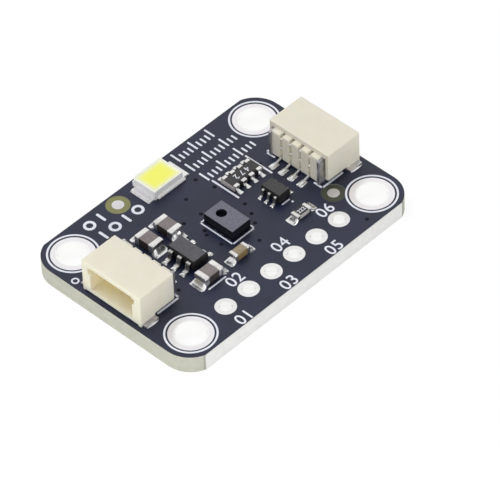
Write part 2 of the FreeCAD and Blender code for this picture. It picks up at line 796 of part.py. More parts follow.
def sensor():
    seat = Seat(axis="y", x="sensor_x", y="sensor_y")
    length = about("sensor_length")
    width = about("sensor_width")
    base = block("sensor_base_block", length, width, above(pad_top, "0", "sensor_base_height"), seat)
    node("sensor_base", base)
    cap_low = "sensor_base_height"
    cap_high = "sensor_base_height + sensor_cap_height"
    block_of_cap = block("sensor_cap_block", length, width, above(pad_top, cap_low, cap_high), seat)
    top_z = value_of(f"{pad_top} + {cap_high}")
    soft_cap = rounded("sensor_cap_rounded", block_of_cap, size("sensor_rounding"),
                       lambda centre, way: abs(centre.z - top_z) < 0.01)
    eye_x = "sensor_x + aperture_x"
    eye_y = "sensor_y + aperture_y"
    eye = disc("sensor_eye", eye_x, eye_y, "aperture_radius", above(pad_top, cap_low, cap_high))
    node("sensor_cap", cut("sensor_cap_cut", soft_cap, [eye]))
    node("sensor_filter", disc("sensor_glass", eye_x, eye_y, "aperture_radius",
                               above(pad_top, cap_low, "sensor_base_height + filter_height")))
    pads = []
    for flipped in (True, False):
        side = Seat(x="sensor_x", y="sensor_y", flipped=flipped)
        for place in range(4):
            pads.append(block(f"sensor_pad_{int(flipped)}_{place}",
                              ("sensor_width / 2 + sensor_pad_reach - sensor_pad_length",
                               "sensor_width / 2 + sensor_pad_reach"),
                              about("sensor_pad_width", f"({place} - 1.5) * sensor_pad_pitch"),
                              above(board_top, "0", "pad_thickness"), side))
    node("sensor_solder", group("sensor_pads", pads))


sensor()


# Moulded chips with bent leads.

def moulded_chip(name, left_places, right_places):
    """Body with drafted sides, its leads, and solder at each foot, for leads at these pitches."""
    seat = Seat(x=f"{name}_x", y=f"{name}_y")
    half = f"{name}_width / 2"
    standoff = f"{name}_standoff"
    height = f"{name}_height"
    thickness = f"{name}_lead_thickness"
    parting = f"{standoff} + {height} / 2"
    draft = f"{name}_draft"
    wide = (about(f"{name}_width"), about(f"{name}_length"))
    narrow = (about(f"{name}_width - 2 * {draft}"), about(f"{name}_length - 2 * {draft}"))
    upper = taper(name + "_upper", wide, narrow, above(board_top, parting, f"{standoff} + {height}"), seat)
    lower = doc.addObject("Part::Mirroring", name + "_lower")
    lower.Source = upper
    lower.Normal = up
    lower.setExpression("Base.z", formula(f"{board_top} + {parting}"))
    body = fuse(name + "_block", [upper, lower])
    leads = []
    joints = []
    stubs = []
    for flipped, places in ((True, left_places), (False, right_places)):
        side = Seat(x=f"{name}_x", y=f"{name}_y", flipped=flipped)
        for place in places:
            tag = f"{name}_{'left' if flipped else 'right'}_{place + 1}"
            across = about(f"{name}_lead_width", f"{place} * {name}_lead_pitch")
            knee = f"{half} + {name}_knee"
            toe = f"{half} + {name}_foot"
            root = f"{half} - {draft}"
            lead_middle = f"{parting} + {name}_lead_raise"
            lead_mid = (f"{lead_middle} - {thickness} / 2", f"{lead_middle} + {thickness} / 2")
            shoulder = block(tag + "_shoulder", (root, knee), across, above(board_top, *lead_mid), side)
            leg = block(tag + "_leg", (f"{knee} - {thickness}", knee), across,
                        above(board_top, "pad_thickness", lead_mid[1]), side)
            foot = block(tag + "_foot", (f"{knee} - {thickness}", toe), across,
                         above(pad_top, "0", thickness), side)
            leads.append(fuse(tag + "_lead", [shoulder, leg, foot]))
            stubs.append(block(tag + "_root", (root, half), across, above(board_top, *lead_mid), side))
            pad_across = about(f"{name}_pad_width", f"{place} * {name}_lead_pitch")
            pad_along = (f"{knee} - {thickness}", f"{toe} + {name}_pad_reach")
            space = block(tag + "_space", (f"{knee} - {thickness}", toe), across,
                          above(pad_top, "0", thickness), side)
            joints.append(mound(tag + "_joint", side, pad_along, pad_across,
                                f"{thickness} * solder_rise", space))
    node(name + "_body", cut(name + "_body_cut", body, stubs))
    node(name + "_leads", group(name + "_lead_group", leads))
    node(name + "_solder", group(name + "_joints", joints))


moulded_chip("regulator", (-1, 0, 1), (-1, 1))
moulded_chip("shifter", (-1, 0, 1), (-1, 0, 1))


# Chips with metal bands over their ends.

def banded_chip(label, kind, x, y, axis):
    """Body, two end bands and the solder at both ends; returns the solder joints."""
    seat = Seat(axis=axis, x=x, y=y)
    wrap = "band_thickness"
    length = f"{kind}_length"
    width = f"{kind}_width"
    height = f"{kind}_height"
    body = block(label + "_core", about(f"{length} - 2 * {wrap}"), about(f"{width} - 2 * {wrap}"),
                 above(pad_top, wrap, f"{height} - {wrap}"), seat)
    node(label + "_body", body)
    bands = []
    joints = []
    for flipped in (True, False):
        end = Seat(axis=axis, x=x, y=y, flipped=flipped)
        tag = f"{label}_{'low' if flipped else 'high'}"
        cap = block(tag + "_cap", (f"{length} / 2 - {kind}_band", f"{length} / 2"), about(width),
                    above(pad_top, "0", height), end)
        soft = rounded(tag + "_soft", cap, size("band_thickness"), lambda centre, way: True)
        bands.append(cut(tag + "_band", soft, [body]))
        reach = f"{length} / 2 + {kind}_pad_reach"
        pad = block(tag + "_pad", (f"{length} / 2 - {kind}_band", reach), about(f"{kind}_pad_width"),
                    above(board_top, "0", "pad_thickness"), end)
        heap = taper(tag + "_heap", ((f"{length} / 2", reach), about(f"{kind}_pad_width")),
                     ((f"{length} / 2", f"{length} / 2 + solder_lip"), about(f"{width} * 0.8")),
                     above(pad_top, "0", f"{height} * solder_climb"), end)
        joints.append(fuse(tag + "_joint", [pad, heap]))
    node(label + "_bands", group(label + "_band_pair", bands))
    return joints


capacitor_joints = []
for label, kind, x, y, axis in (
        ("input_capacitor", "large", "input_capacitor_x", "rear_capacitors_y", "y"),
        ("output_capacitor", "large", "output_capacitor_x", "rear_capacitors_y", "y"),
        ("supply_capacitor", "large", "supply_capacitor_x", "supply_capacitor_y", "x"),
        ("sensor_capacitor", "small", "sensor_capacitor_x", "sensor_capacitor_y", "x")):
    capacitor_joints += banded_chip(label, kind, x, y, axis)
node("capacitor_solder", group("capacitor_joints", capacitor_joints))
resistor_joints = banded_chip("resistor", "resistor", "resistor_x", "resistor_y", "x")
node("resistor_solder", group("resistor_joints", resistor_joints))


# Resistor array: a ceramic slab with four clips along each long side and scallops between them.

def resistor_array():
    core_height = above(pad_top, "band_thickness", "array_height - band_thickness")
    whole = block("array_whole", about("array_length", "array_x"),
                  about("array_width - 2 * band_thickness", "array_y"), core_height)
    scallops = []
    clips = []
    joints = []
    for flipped in (True, False):
        seat = Seat(axis="y", x="array_x", y="array_y", flipped=flipped)
        side = "front" if flipped else "rear"
        edge_y = f"array_y {'-' if flipped else '+'} (array_width / 2 - band_thickness)"
        for place in range(3):
            scallops.append(disc(f"array_scallop_{side}_{place}", f"array_x + ({place} - 1) * array_pitch",
                                 edge_y, "array_scallop_radius", core_height))
        for place in range(4):
            across = about("array_terminal_width", f"({place} - 1.5) * array_pitch")
            pad_across = about("array_pad_width", f"({place} - 1.5) * array_pitch")
            tag = f"array_{side}_{place}"
            clip = block(tag + "_clip", ("array_width / 2 - array_terminal_depth", "array_width / 2"),
                         across, above(pad_top, "0", "array_height"), seat)
            clips.append(cut(tag + "_terminal", clip, [whole]))
            pad = block(tag + "_pad", ("array_width / 2 - array_terminal_depth",
                                       "array_width / 2 + array_pad_reach"), pad_across,
                        above(board_top, "0", "pad_thickness"), seat)
            heap = taper(tag + "_heap",
                         (("array_width / 2", "array_width / 2 + array_pad_reach"), pad_across),
                         (("array_width / 2", "array_width / 2 + solder_lip"), across),
                         above(pad_top, "0", "array_height * solder_climb"), seat)
            joints.append(fuse(tag + "_joint", [pad, heap]))
    node("array_body", cut("array_core", whole, scallops))
    node("array_terminals", group("array_clips", clips))
    node("array_solder", group("array_joints", joints))


resistor_array()


# Printed legend: rings, brackets, outlines, plain pin numbers and a plain scale.

def legend():
    level = above(board_top, "0", "print_thickness")
    marks = []

    def stroke(along, across, seat=middle):
        marks.append(block(f"stroke_{len(marks)}", along, across, level, seat))

    def ring(x, y, radius, width):
        name = f"ring_{len(marks)}"
        outer = disc(name + "_outer", x, y, f"{radius} + {width} / 2", level)
        inner = disc(name + "_inner", x, y, f"{radius} - {width} / 2", level)
        marks.append(cut(name, outer, [inner]))

    def spot(x, y, radius):
        marks.append(disc(f"spot_{len(marks)}", x, y, radius, level))

    for x, y in mount_places:
        ring(x, y, "ring_radius", "ring_width")
    ring("small_ring_x", "small_ring_y", "small_ring_radius", "small_ring_width")

    # Brackets at each socket's back corners, one stroke along and one across.
    corner = f"{rib_back} - bracket_gap"
    beside = "socket_width / 2 - bracket_inside"
    for flipped in (True, False):
        seat = Seat(flipped=flipped)
        for sign in (-1, 1):
            stroke((f"{corner} - line_width / 2", f"{corner} + line_width / 2"),
                   mirrored((f"{beside} - bracket_inset", f"{beside} + line_width"), sign), seat)
            stroke((f"{corner} + line_width / 2",
                    f"{mouth} - nail_foot_setback - nail_foot_length - bracket_end_gap"),
                   mirrored((beside, f"{beside} + line_width"), sign), seat)

    # The outline beside the sensor.
    sensor_seat = Seat(axis="y", x="sensor_x", y="sensor_y")
    half_across = "sensor_width / 2 + outline_gap"
    half_along = "sensor_length / 2 + outline_gap"
    for sign in (-1, 1):
        stroke((f"-({half_along})", half_along),
               mirrored((half_across, f"{half_across} + line_width"), sign), sensor_seat)
        stroke(mirrored((half_along, f"{half_along} + line_width"), sign),
               (f"-({half_across}) - line_width", f"{half_across} + line_width"), sensor_seat)

    # Lines beside the array, the moulded chips and the supply capacitor.
    for sign in ("-", "+"):
        line_x = f"array_x {sign} (array_length / 2 + array_line_gap)"
        stroke(about("line_width", line_x), about("array_line_length", "array_y"))
    shifter_front = "shifter_y - shifter_length / 2"
    stroke(about("shifter_line_length", "shifter_x"),
           about("line_width", f"{shifter_front} - shifter_line_gap"))
    spot("shifter_x + shifter_spot_x", f"{shifter_front} - shifter_spot_gap", "shifter_spot_radius")
    stroke(about("large_length", "supply_capacitor_x"),
           about("line_width", "supply_capacitor_y - large_width / 2 - supply_line_gap"))

    # Plain two-figure numbers at the header holes, in front of and behind the row in turn.
    shown = {
        0: "abcdef", 1: "bc", 2: "abged", 3: "abgcd", 4: "fgbc", 5: "afgcd", 6: "afgedc",
    }
    half_wide = "figure_width / 2"
    half_high = "figure_height / 2"
    bars = {
        "a": (about("figure_width"), (f"{half_high} - figure_stroke", half_high)),
        "d": (about("figure_width"), (f"-{half_high}", f"-{half_high} + figure_stroke")),
        "g": (about("figure_width"), about("figure_stroke")),
        "b": ((f"{half_wide} - figure_stroke", half_wide), ("0", half_high)),
        "c": ((f"{half_wide} - figure_stroke", half_wide), (f"-{half_high}", "0")),
        "f": ((f"-{half_wide}", f"-{half_wide} + figure_stroke"), ("0", half_high)),
        "e": ((f"-{half_wide}", f"-{half_wide} + figure_stroke"), (f"-{half_high}", "0")),
    }
    for number, (pin_x, pin_y) in enumerate(pin_places, 1):
        offset = "figure_offset_rear" if number % 2 == 0 else "-figure_offset_front"
        for figure, shift in ((0, "-figure_pitch / 2"), (number, "figure_pitch / 2")):
            seat = Seat(x=f"{pin_x} + {shift}", y=f"{pin_y} + {offset}")
            name = f"figure_{number}_{figure}"
            pieces = [block(f"{name}_{bar}", *bars[bar], level, seat) for bar in shown[figure]]
            marks.append(fuse(name, pieces))

    # A plain scale of ticks in three rows beside the lamp.
    for line, ticks in enumerate((9, 11, 12)):
        for tick in range(ticks):
            share = 1 if tick % 4 == 0 else 0.6
            tick_x = f"scale_x + {tick} * scale_tick_pitch"
            foot_y = f"scale_top_y - {line} * scale_row_pitch - scale_tick_height / 2"
            stroke(about("line_width", tick_x), (foot_y, f"{foot_y} + {share} * scale_tick_height"))

    # Plain shapes in two rows between the lamp and the left socket.
    for line, count in enumerate((2, 4)):
        for place in range(count):
            mark_x = f"name_x + {place} * name_pitch"
            mark_y = f"name_y - {line} * name_row_pitch"
            if (place + line) % 2 == 0:
                ring(mark_x, mark_y, "name_mark / 2 - name_stroke / 2", "name_stroke")
            else:
                stroke(about("name_stroke", mark_x), about("name_mark", mark_y))

    # Ink stops at what is soldered or stands on the board.
    covered = [part for part in nodes if part.Label.endswith(("_solder", "_housing"))]
    node("printed_legend", cut("legend", group("legend_marks", marks), covered))


legend()


# Check every feature, then write each sub-part to a file of its own.

doc.recompute()
for feature in doc.Objects:
    if "Invalid" in feature.State or "Error" in feature.State:
        raise RuntimeError(f"{feature.Name} failed: {feature.State}")
for part in nodes:
    if part.Shape.isNull() or not part.Shape.isValid() or not part.Shape.Solids:
        raise RuntimeError(f"{part.Label} has no valid solid")
for part in nodes:
    part.Shape.exportStep(f"parts/{part.Label}.step")
print(len(nodes), "sub-parts written")
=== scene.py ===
import json
import math
import random

import bmesh
import bpy
from mathutils import Matrix, Vector, noise


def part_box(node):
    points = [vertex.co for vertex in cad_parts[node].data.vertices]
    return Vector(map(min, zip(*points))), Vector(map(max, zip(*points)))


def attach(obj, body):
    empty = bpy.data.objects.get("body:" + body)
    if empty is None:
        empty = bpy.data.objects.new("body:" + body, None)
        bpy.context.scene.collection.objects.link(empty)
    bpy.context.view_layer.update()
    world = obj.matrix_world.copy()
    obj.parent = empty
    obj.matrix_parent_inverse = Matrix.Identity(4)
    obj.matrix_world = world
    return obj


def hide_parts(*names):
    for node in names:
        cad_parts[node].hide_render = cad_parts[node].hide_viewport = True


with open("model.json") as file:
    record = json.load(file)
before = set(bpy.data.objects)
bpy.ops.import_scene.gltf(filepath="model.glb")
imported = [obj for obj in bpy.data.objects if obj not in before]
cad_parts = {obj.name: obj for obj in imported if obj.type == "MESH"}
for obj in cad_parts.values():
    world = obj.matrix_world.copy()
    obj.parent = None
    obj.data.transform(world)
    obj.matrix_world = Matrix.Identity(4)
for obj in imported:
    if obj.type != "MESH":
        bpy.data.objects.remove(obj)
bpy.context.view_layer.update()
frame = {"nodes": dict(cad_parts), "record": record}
mm = 0.001  # lengths below are in millimetres until they are multiplied by this
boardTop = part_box("circuit_board")[1].z / mm
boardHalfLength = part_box("circuit_board")[1].x / mm
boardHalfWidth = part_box("circuit_board")[1].y / mm
padTop = boardTop + 0.04
print("frame loaded:", len(frame["nodes"]), "nodes")


# node groups: they give values and normals only, in object coordinates

def newGroup(name, inputs, outputs):
    group = bpy.data.node_groups.new(name, "ShaderNodeTree")
    for label, default in inputs.items():
        socket = group.interface.new_socket(label, in_out="INPUT", socket_type="NodeSocketFloat")
        socket.default_value = default
    for label, kind in outputs.items():
        group.interface.new_socket(label, in_out="OUTPUT", socket_type=kind)
    return group, group.nodes.new("NodeGroupInput"), group.nodes.new("NodeGroupOutput")


def noiseNode(tree, detail=3.0, roughness=0.6):
    noise = tree.nodes.new("ShaderNodeTexNoise")
    noise.inputs["Detail"].default_value = detail
    noise.inputs["Roughness"].default_value = roughness
    coords = tree.nodes.new("ShaderNodeTexCoord")
    tree.links.new(coords.outputs["Object"], noise.inputs["Vector"])
    return noise


def makeGrain():
    # fine surface grain, pressed in by Depth (metres)
    group, inlet, outlet = newGroup(
        "surfaceGrain", {"Scale": 9000.0, "Depth": 0.000002},
        {"Value": "NodeSocketFloat", "Normal": "NodeSocketVector"})
    noise = noiseNode(group)
    bump = group.nodes.new("ShaderNodeBump")
    link = group.links.new
    link(inlet.outputs["Scale"], noise.inputs["Scale"])
    link(noise.outputs["Fac"], bump.inputs["Height"])
    link(inlet.outputs["Depth"], bump.inputs["Distance"])
    link(noise.outputs["Fac"], outlet.inputs["Value"])
    link(bump.outputs["Normal"], outlet.inputs["Normal"])
    return group


def makeBlotch():
    # soft patches between 0 and 1, Low and High set where they begin and end
    group, inlet, outlet = newGroup(
        "softBlotch", {"Scale": 600.0, "Low": 0.35, "High": 0.65}, {"Mask": "NodeSocketFloat"})
    noise = noiseNode(group, detail=4.0, roughness=0.55)
    span = group.nodes.new("ShaderNodeMapRange")
    link = group.links.new
    link(inlet.outputs["Scale"], noise.inputs["Scale"])
    link(noise.outputs["Fac"], span.inputs["Value"])
    link(inlet.outputs["Low"], span.inputs["From Min"])
    link(inlet.outputs["High"], span.inputs["From Max"])
    link(span.outputs["Result"], outlet.inputs["Mask"])
    return group


def makeFacing():
    # 1 on faces that look up or down, 0 on the sides; High is 1 above Level (metres)
    group, inlet, outlet = newGroup(
        "faceSplit", {"Level": 0.0, "Blend": 0.00004},
        {"Flat": "NodeSocketFloat", "High": "NodeSocketFloat"})
    geometry = group.nodes.new("ShaderNodeNewGeometry")
    parts = group.nodes.new("ShaderNodeSeparateXYZ")
    size = group.nodes.new("ShaderNodeMath")
    size.operation = "ABSOLUTE"
    flat = group.nodes.new("ShaderNodeMapRange")
    flat.inputs["From Min"].default_value = 0.55
    flat.inputs["From Max"].default_value = 0.8
    coords = group.nodes.new("ShaderNodeTexCoord")
    place = group.nodes.new("ShaderNodeSeparateXYZ")
    top = group.nodes.new("ShaderNodeMath")
    top.operation = "ADD"
    high = group.nodes.new("ShaderNodeMapRange")
    link = group.links.new
    link(geometry.outputs["True Normal"], parts.inputs["Vector"])
    link(parts.outputs["Z"], size.inputs[0])
    link(size.outputs["Value"], flat.inputs["Value"])
    link(flat.outputs["Result"], outlet.inputs["Flat"])
    link(coords.outputs["Object"], place.inputs["Vector"])
    link(inlet.outputs["Level"], top.inputs[0])
    link(inlet.outputs["Blend"], top.inputs[1])
    link(place.outputs["Z"], high.inputs["Value"])
    link(inlet.outputs["Level"], high.inputs["From Min"])
    link(top.outputs["Value"], high.inputs["From Max"])
    link(high.outputs["Result"], outlet.inputs["High"])
    return group


grainGroup = makeGrain()
blotchGroup = makeBlotch()
facingGroup = makeFacing()


# materials

class Finish:
    # a material under construction, with short ways to add and join its nodes

    def __init__(self, name, **sockets):
        self.material = bpy.data.materials.new(name)
        self.material.use_nodes = True
        self.tree = self.material.node_tree
        self.shader = self.tree.nodes["Principled BSDF"]
        for label, value in sockets.items():
            self.shader.inputs[label.replace("_", " ")].default_value = value

    def add(self, kind, **values):
        made = self.tree.nodes.new("ShaderNode" + kind)
        for label, value in values.items():
            setattr(made, label, value)
        return made

    def link(self, source, target):
        self.tree.links.new(source, target)

    def group(self, group, **values):
        made = self.add("Group", node_tree=group)
        for label, value in values.items():
            made.inputs[label].default_value = value
        return made

    def grain(self, scale, depth):
        made = self.group(grainGroup, Scale=scale, Depth=depth)
        self.link(made.outputs["Normal"], self.shader.inputs["Normal"])
        return made.outputs["Value"]

    def blotch(self, scale, low=0.35, high=0.65):
        return self.group(blotchGroup, Scale=scale, Low=low, High=high).outputs["Mask"]

    def span(self, value, low, high, fromLow=0.0, fromHigh=1.0):
        made = self.add("MapRange")
        made.inputs["From Min"].default_value = fromLow
        made.inputs["From Max"].default_value = fromHigh
        made.inputs["To Min"].default_value = low
        made.inputs["To Max"].default_value = high
        self.link(value, made.inputs["Value"])
        return made.outputs["Result"]

    def mix(self, mask, first, second):
        # colours may be tuples or sockets
        made = self.add("Mix", data_type="RGBA")
        for label, colour in (("A", first), ("B", second)):
            socket = next(s for s in made.inputs if s.name == label and s.type == "RGBA")
            if isinstance(colour, tuple):
                socket.default_value = (*colour, 1.0)
            else:
                self.link(colour, socket)
        factor = next(s for s in made.inputs if s.name == "Factor" and s.type == "VALUE")
        self.link(mask, factor)
        return next(s for s in made.outputs if s.type == "RGBA")

    def maths(self, operation, first, second=None):
        made = self.add("Math", operation=operation)
        for place, value in enumerate((first, second)):
            if value is None:
                continue
            if isinstance(value, (int, float)):
                made.inputs[place].default_value = value
            else:
                self.link(value, made.inputs[place])
        return made.outputs["Value"]

    def colour(self, socket):
        self.link(socket, self.shader.inputs["Base Color"])

    def roughness(self, socket):
        self.link(socket, self.shader.inputs["Roughness"])

    def place(self):
        # the point's own coordinates in millimetres
        coords = self.add("TexCoord")
        scaled = self.add("VectorMath", operation="SCALE")
        scaled.inputs["Scale"].default_value = 1 / mm
        self.link(coords.outputs["Object"], scaled.inputs[0])
        split = self.add("SeparateXYZ")
        self.link(scaled.outputs["Vector"], split.inputs["Vector"])
        return split.outputs


def corners(nodeName):
    # a node's lowest and highest corners in millimetres
    low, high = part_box(nodeName)
    return low / mm, high / mm


def middle(nodeName):
    low, high = corners(nodeName)
    return (low + high) / 2


boardLook = {
    "copperUnder": (0.012, 0.015, 0.044),
    "bareUnder": (0.008, 0.013, 0.034),
    "laminatePale": (0.61, 0.61, 0.52),
    "laminateGreen": (0.52, 0.53, 0.44),
    # the snapped edges' colours carry painted light: pale below, grey above, and a shade colour for the top band
    "scorePale": (0.98, 0.98, 0.97),
    "scoreGrey": (0.95, 0.95, 0.93),
    "scoreShade": (0.78, 0.78, 0.76),
    "burn": (0.30, 0.27, 0.22),
    "maskDepth": 0.03,
    "openingRadius": 1.0,
    "rearOpening": (0.235, 0.235, 0.095),
    "frontOpening": (0.050, 0.054, 0.036),
}


def nearDot(finish, place, nodeName):
    # 1 inside the mask opening round an alignment dot, 0 outside
    centre = middle(nodeName)
    across = finish.maths("SUBTRACT", place["X"], centre.x)
    along = finish.maths("SUBTRACT", place["Y"], centre.y)
    square = finish.maths("ADD", finish.maths("MULTIPLY", across, across), finish.maths("MULTIPLY", along, along))
    return finish.maths("LESS_THAN", finish.maths("SQRT", square), boardLook["openingRadius"])


def makeBoardFinish():
    look = boardLook
    finish = Finish("boardMask", Roughness=0.42)
    face = finish.group(facingGroup, Level=(boardTop - look["maskDepth"]) * mm).outputs
    place = finish.place()
    # mask over copper and over bare laminate, faintly different
    mask = finish.mix(finish.blotch(520.0, 0.42, 0.58), look["copperUnder"], look["bareUnder"])
    # bare laminate in the two openings of the top mask
    isTop = finish.maths("GREATER_THAN", place["Z"], boardTop / 2)
    for nodeName, shade in (("rear_alignment_dot", look["rearOpening"]),
                            ("front_alignment_dot", look["frontOpening"])):
        inside = finish.maths("MULTIPLY", nearDot(finish, place, nodeName), isTop)
        mask = finish.mix(inside, mask, shade)
    # glass layers along the routed ends
    layers = finish.add("TexWave", wave_type="BANDS", bands_direction="Z")
    layers.inputs["Scale"].default_value = 420.0
    layers.inputs["Distortion"].default_value = 3.0
    layers.inputs["Detail"].default_value = 2.0
    coords = finish.add("TexCoord")
    finish.link(coords.outputs["Object"], layers.inputs["Vector"])
    layerMask = finish.maths("MULTIPLY", layers.outputs["Fac"], 0.25)
    layerMask = finish.maths("ADD", layerMask, finish.maths("MULTIPLY", finish.blotch(2400.0), 0.6))
    routed = finish.mix(layerMask, look["laminatePale"], look["laminateGreen"])
    # the long edges were scored and snapped and are whitish; painted light makes them white below, lit by the floor,
    # and grey above
    snapped = finish.mix(finish.span(place["Z"], 0.0, 1.0, 0.35, 1.4), look["scorePale"], look["scoreGrey"])
    # painted shade: darker towards the top of the edge, and in random blotches
    blotchAndTopShade = finish.maths("MAXIMUM", finish.maths("MULTIPLY", finish.blotch(1800.0), 0.3),
                        finish.span(place["Z"], 0.0, 0.9, 1.25, boardTop))
    snapped = finish.mix(blotchAndTopShade, snapped, look["scoreShade"])
    long = finish.maths("GREATER_THAN", finish.maths("ABSOLUTE", place["Y"]), boardHalfWidth - 0.02)
    side = finish.mix(long, routed, snapped)
    # a darker line where score and round corner meet
    reach = boardHalfLength - 1.6
    offKink = finish.maths("ABSOLUTE", finish.maths("SUBTRACT", finish.maths("ABSOLUTE", place["X"]), reach))
    kinkDarkMask = finish.span(offKink, 0.8, 0.0, 0.0, 0.13)
    kinkDarkMask = finish.maths("MULTIPLY", kinkDarkMask, finish.maths("GREATER_THAN", finish.maths("ABSOLUTE", place["Y"]), 8.2))
    side = finish.mix(kinkDarkMask, side, look["burn"])
    side = finish.mix(face["High"], side, look["bareUnder"])
    finish.colour(finish.mix(face["Flat"], side, mask))
    grain = finish.grain(5200.0, 0.0000035)
    onSide = finish.span(grain, 0.62, 0.85)
    onFace = finish.span(grain, 0.34, 0.50)
    blend = finish.add("Mix", data_type="FLOAT")
    finish.link(face["Flat"], blend.inputs[0])
    finish.link(onSide, blend.inputs[2])
    finish.link(onFace, blend.inputs[3])
    finish.roughness(blend.outputs[0])
    return finish.material


def makeMetal(name, pale, dark, roughLow, roughHigh, scale, depth):
    finish = Finish(name, Metallic=1.0)
    finish.colour(finish.mix(finish.blotch(scale / 4), pale, dark))
    grain = finish.grain(scale, depth)
    finish.roughness(finish.span(grain, roughLow, roughHigh, 0.3, 0.7))
    return finish.material


leadLook = {
    "pale": (0.86, 0.85, 0.83),
    "dark": (0.62, 0.61, 0.60),
    "bent": (0.34, 0.34, 0.34),
    "grainScale": 4200.0,
    "grainDepth": 0.000003,
}


def makeLeadMetal():
    # bright on the shoulders and feet, with painted shade on the steep faces down the bent legs
    look = leadLook
    finish = Finish("leadMetal", Metallic=1.0)
    face = finish.group(facingGroup).outputs["Flat"]
    tinned = finish.mix(finish.blotch(look["grainScale"] / 4), look["pale"], look["dark"])
    finish.colour(finish.mix(face, look["bent"], tinned))
    grain = finish.grain(look["grainScale"], look["grainDepth"])
    finish.roughness(finish.span(grain, 0.24, 0.40, 0.3, 0.7))
    return finish.material


def makePlastic(name, pale, deep, roughLow, roughHigh, scale, depth, **sockets):
    finish = Finish(name, **sockets)
    finish.colour(finish.mix(finish.blotch(scale / 8), pale, deep))
    grain = finish.grain(scale, depth)
    finish.roughness(finish.span(grain, roughLow, roughHigh, 0.3, 0.7))
    return finish.material


landLook = {
    "wall": (0.98, 0.98, 0.97),
    "wallRough": 0.08,
    "speckleScale": 2600.0,
    "speckleDepth": 0.0000002,
    "rim": (1.33, 1.42),
}


def makeLand(name, pale, dark, roughLow, roughHigh, rimHighlightOf=None):
    # a tinned ring with a soft sheen, and a bright smooth wall inside the hole; a land named as the last argument, with
    # its mirror images, gets a painted highlight on its ring next to the hole
    look = landLook
    finish = Finish(name, Metallic=1.0)
    face = finish.group(facingGroup).outputs["Flat"]
    ring = finish.mix(finish.blotch(look["speckleScale"] / 4), pale, dark)
    if rimHighlightOf:
        place = finish.place()
        centre = middle(rimHighlightOf)
        across = finish.maths("SUBTRACT", finish.maths("ABSOLUTE", place["X"]), abs(centre.x))
        along = finish.maths("SUBTRACT", finish.maths("ABSOLUTE", place["Y"]), abs(centre.y))
        square = finish.maths("ADD", finish.maths("MULTIPLY", across, across), finish.maths("MULTIPLY", along, along))
        # painted highlight on the ring next to the hole's edge
        bright = finish.span(finish.maths("SQRT", square), 1.0, 0.0, *look["rim"])
        ring = finish.mix(bright, ring, look["wall"])
    finish.colour(finish.mix(face, look["wall"], ring))
    grain = finish.grain(look["speckleScale"], look["speckleDepth"])
    blend = finish.add("Mix", data_type="FLOAT")
    finish.link(face, blend.inputs[0])
    blend.inputs[2].default_value = look["wallRough"]
    finish.link(finish.span(grain, roughLow, roughHigh, 0.3, 0.7), blend.inputs[3])
    finish.roughness(blend.outputs[0])
    return finish.material


nylonLook = {
    "pale": (0.86, 0.815, 0.695),
    "deep": (0.83, 0.785, 0.66),
    "back": (0.66, 0.62, 0.53),
    "mouth": (0.87, 0.84, 0.67),
    "inside": (0.96, 0.84, 0.52),
    "mouthDepth": 0.05,
    "warmFrom": 1.5,
    "insideDepth": 2.7,
    "insideHalf": 2.6,
    "insideFloor": 0.3,
    "insideRoof": 0.35,
    "grainScale": 6000.0,
    "grainDepth": 0.0000022,
}


def makeNylon():
    # pale nylon, with painted shade on the faces that look inwards, and a painted warm glow on the mouth's face and
    # inside it, where light passes through the thin walls
    look = nylonLook
    finish = Finish("socketNylon", Subsurface_Weight=0.35, Subsurface_Scale=0.0008,
                    Subsurface_Radius=(1.0, 0.85, 0.45))
    place = finish.place()
    low, high = corners("right_socket_housing")
    geometry = finish.add("NewGeometry")
    way = finish.add("SeparateXYZ")
    finish.link(geometry.outputs["True Normal"], way.inputs["Vector"])
    outward = finish.maths("MULTIPLY", way.outputs["X"], finish.maths("SIGN", place["X"]))
    fromMiddle = finish.maths("ABSOLUTE", place["X"])
    aside = finish.maths("ABSOLUTE", place["Y"])
    colour = finish.mix(finish.blotch(look["grainScale"] / 8), look["pale"], look["deep"])
    # painted shade on the faces that look inwards, towards the board's middle
    colour = finish.mix(finish.span(outward, 1.0, 0.0, -0.9, -0.4), colour, look["back"])
    # painted warm glow, standing in for light through the thin walls, inside the mouth and on its face
    atMouth = finish.maths("GREATER_THAN", fromMiddle, high.x - look["mouthDepth"])
    within = finish.maths("LESS_THAN", aside, look["insideHalf"])
    within = finish.maths("MULTIPLY", within, finish.maths("GREATER_THAN", fromMiddle, high.x - look["insideDepth"]))
    within = finish.maths("MULTIPLY", within, finish.span(fromMiddle, 1.0, 0.1, high.x - look["warmFrom"], high.x))
    within = finish.maths("MULTIPLY", within, finish.maths("GREATER_THAN", place["Z"], low.z + look["insideFloor"]))
    within = finish.maths("MULTIPLY", within, finish.maths("LESS_THAN", place["Z"], high.z - look["insideRoof"]))
    colour = finish.mix(within, colour, look["inside"])
    colour = finish.mix(atMouth, colour, look["mouth"])
    finish.colour(colour)
    grain = finish.grain(look["grainScale"], look["grainDepth"])
    finish.roughness(finish.span(grain, 0.42, 0.56, 0.3, 0.7))
    return finish.material


arrayLook = {
    "pale": (0.44, 0.40, 0.40),
    "dark": (0.028, 0.024, 0.025),
    "darker": (0.016, 0.013, 0.014),
    "endDepth": 0.03,
}


def makeArrayBody():
    # dark glaze over a pale ceramic that shows at both ends
    look = arrayLook
    finish = Finish("arrayBody", Specular_IOR_Level=0.3)
    place = finish.place()
    centre = middle("array_body")
    half = corners("array_body")[1].x - centre.x
    off = finish.maths("ABSOLUTE", finish.maths("SUBTRACT", place["X"], centre.x))
    atEnd = finish.maths("GREATER_THAN", off, half - look["endDepth"])
    glazed = finish.mix(finish.blotch(1500.0), look["dark"], look["darker"])
    finish.colour(finish.mix(atEnd, glazed, look["pale"]))
    grain = finish.grain(6000.0, 0.000002)
    finish.roughness(finish.span(grain, 0.3, 0.5, 0.3, 0.7))
    return finish.material


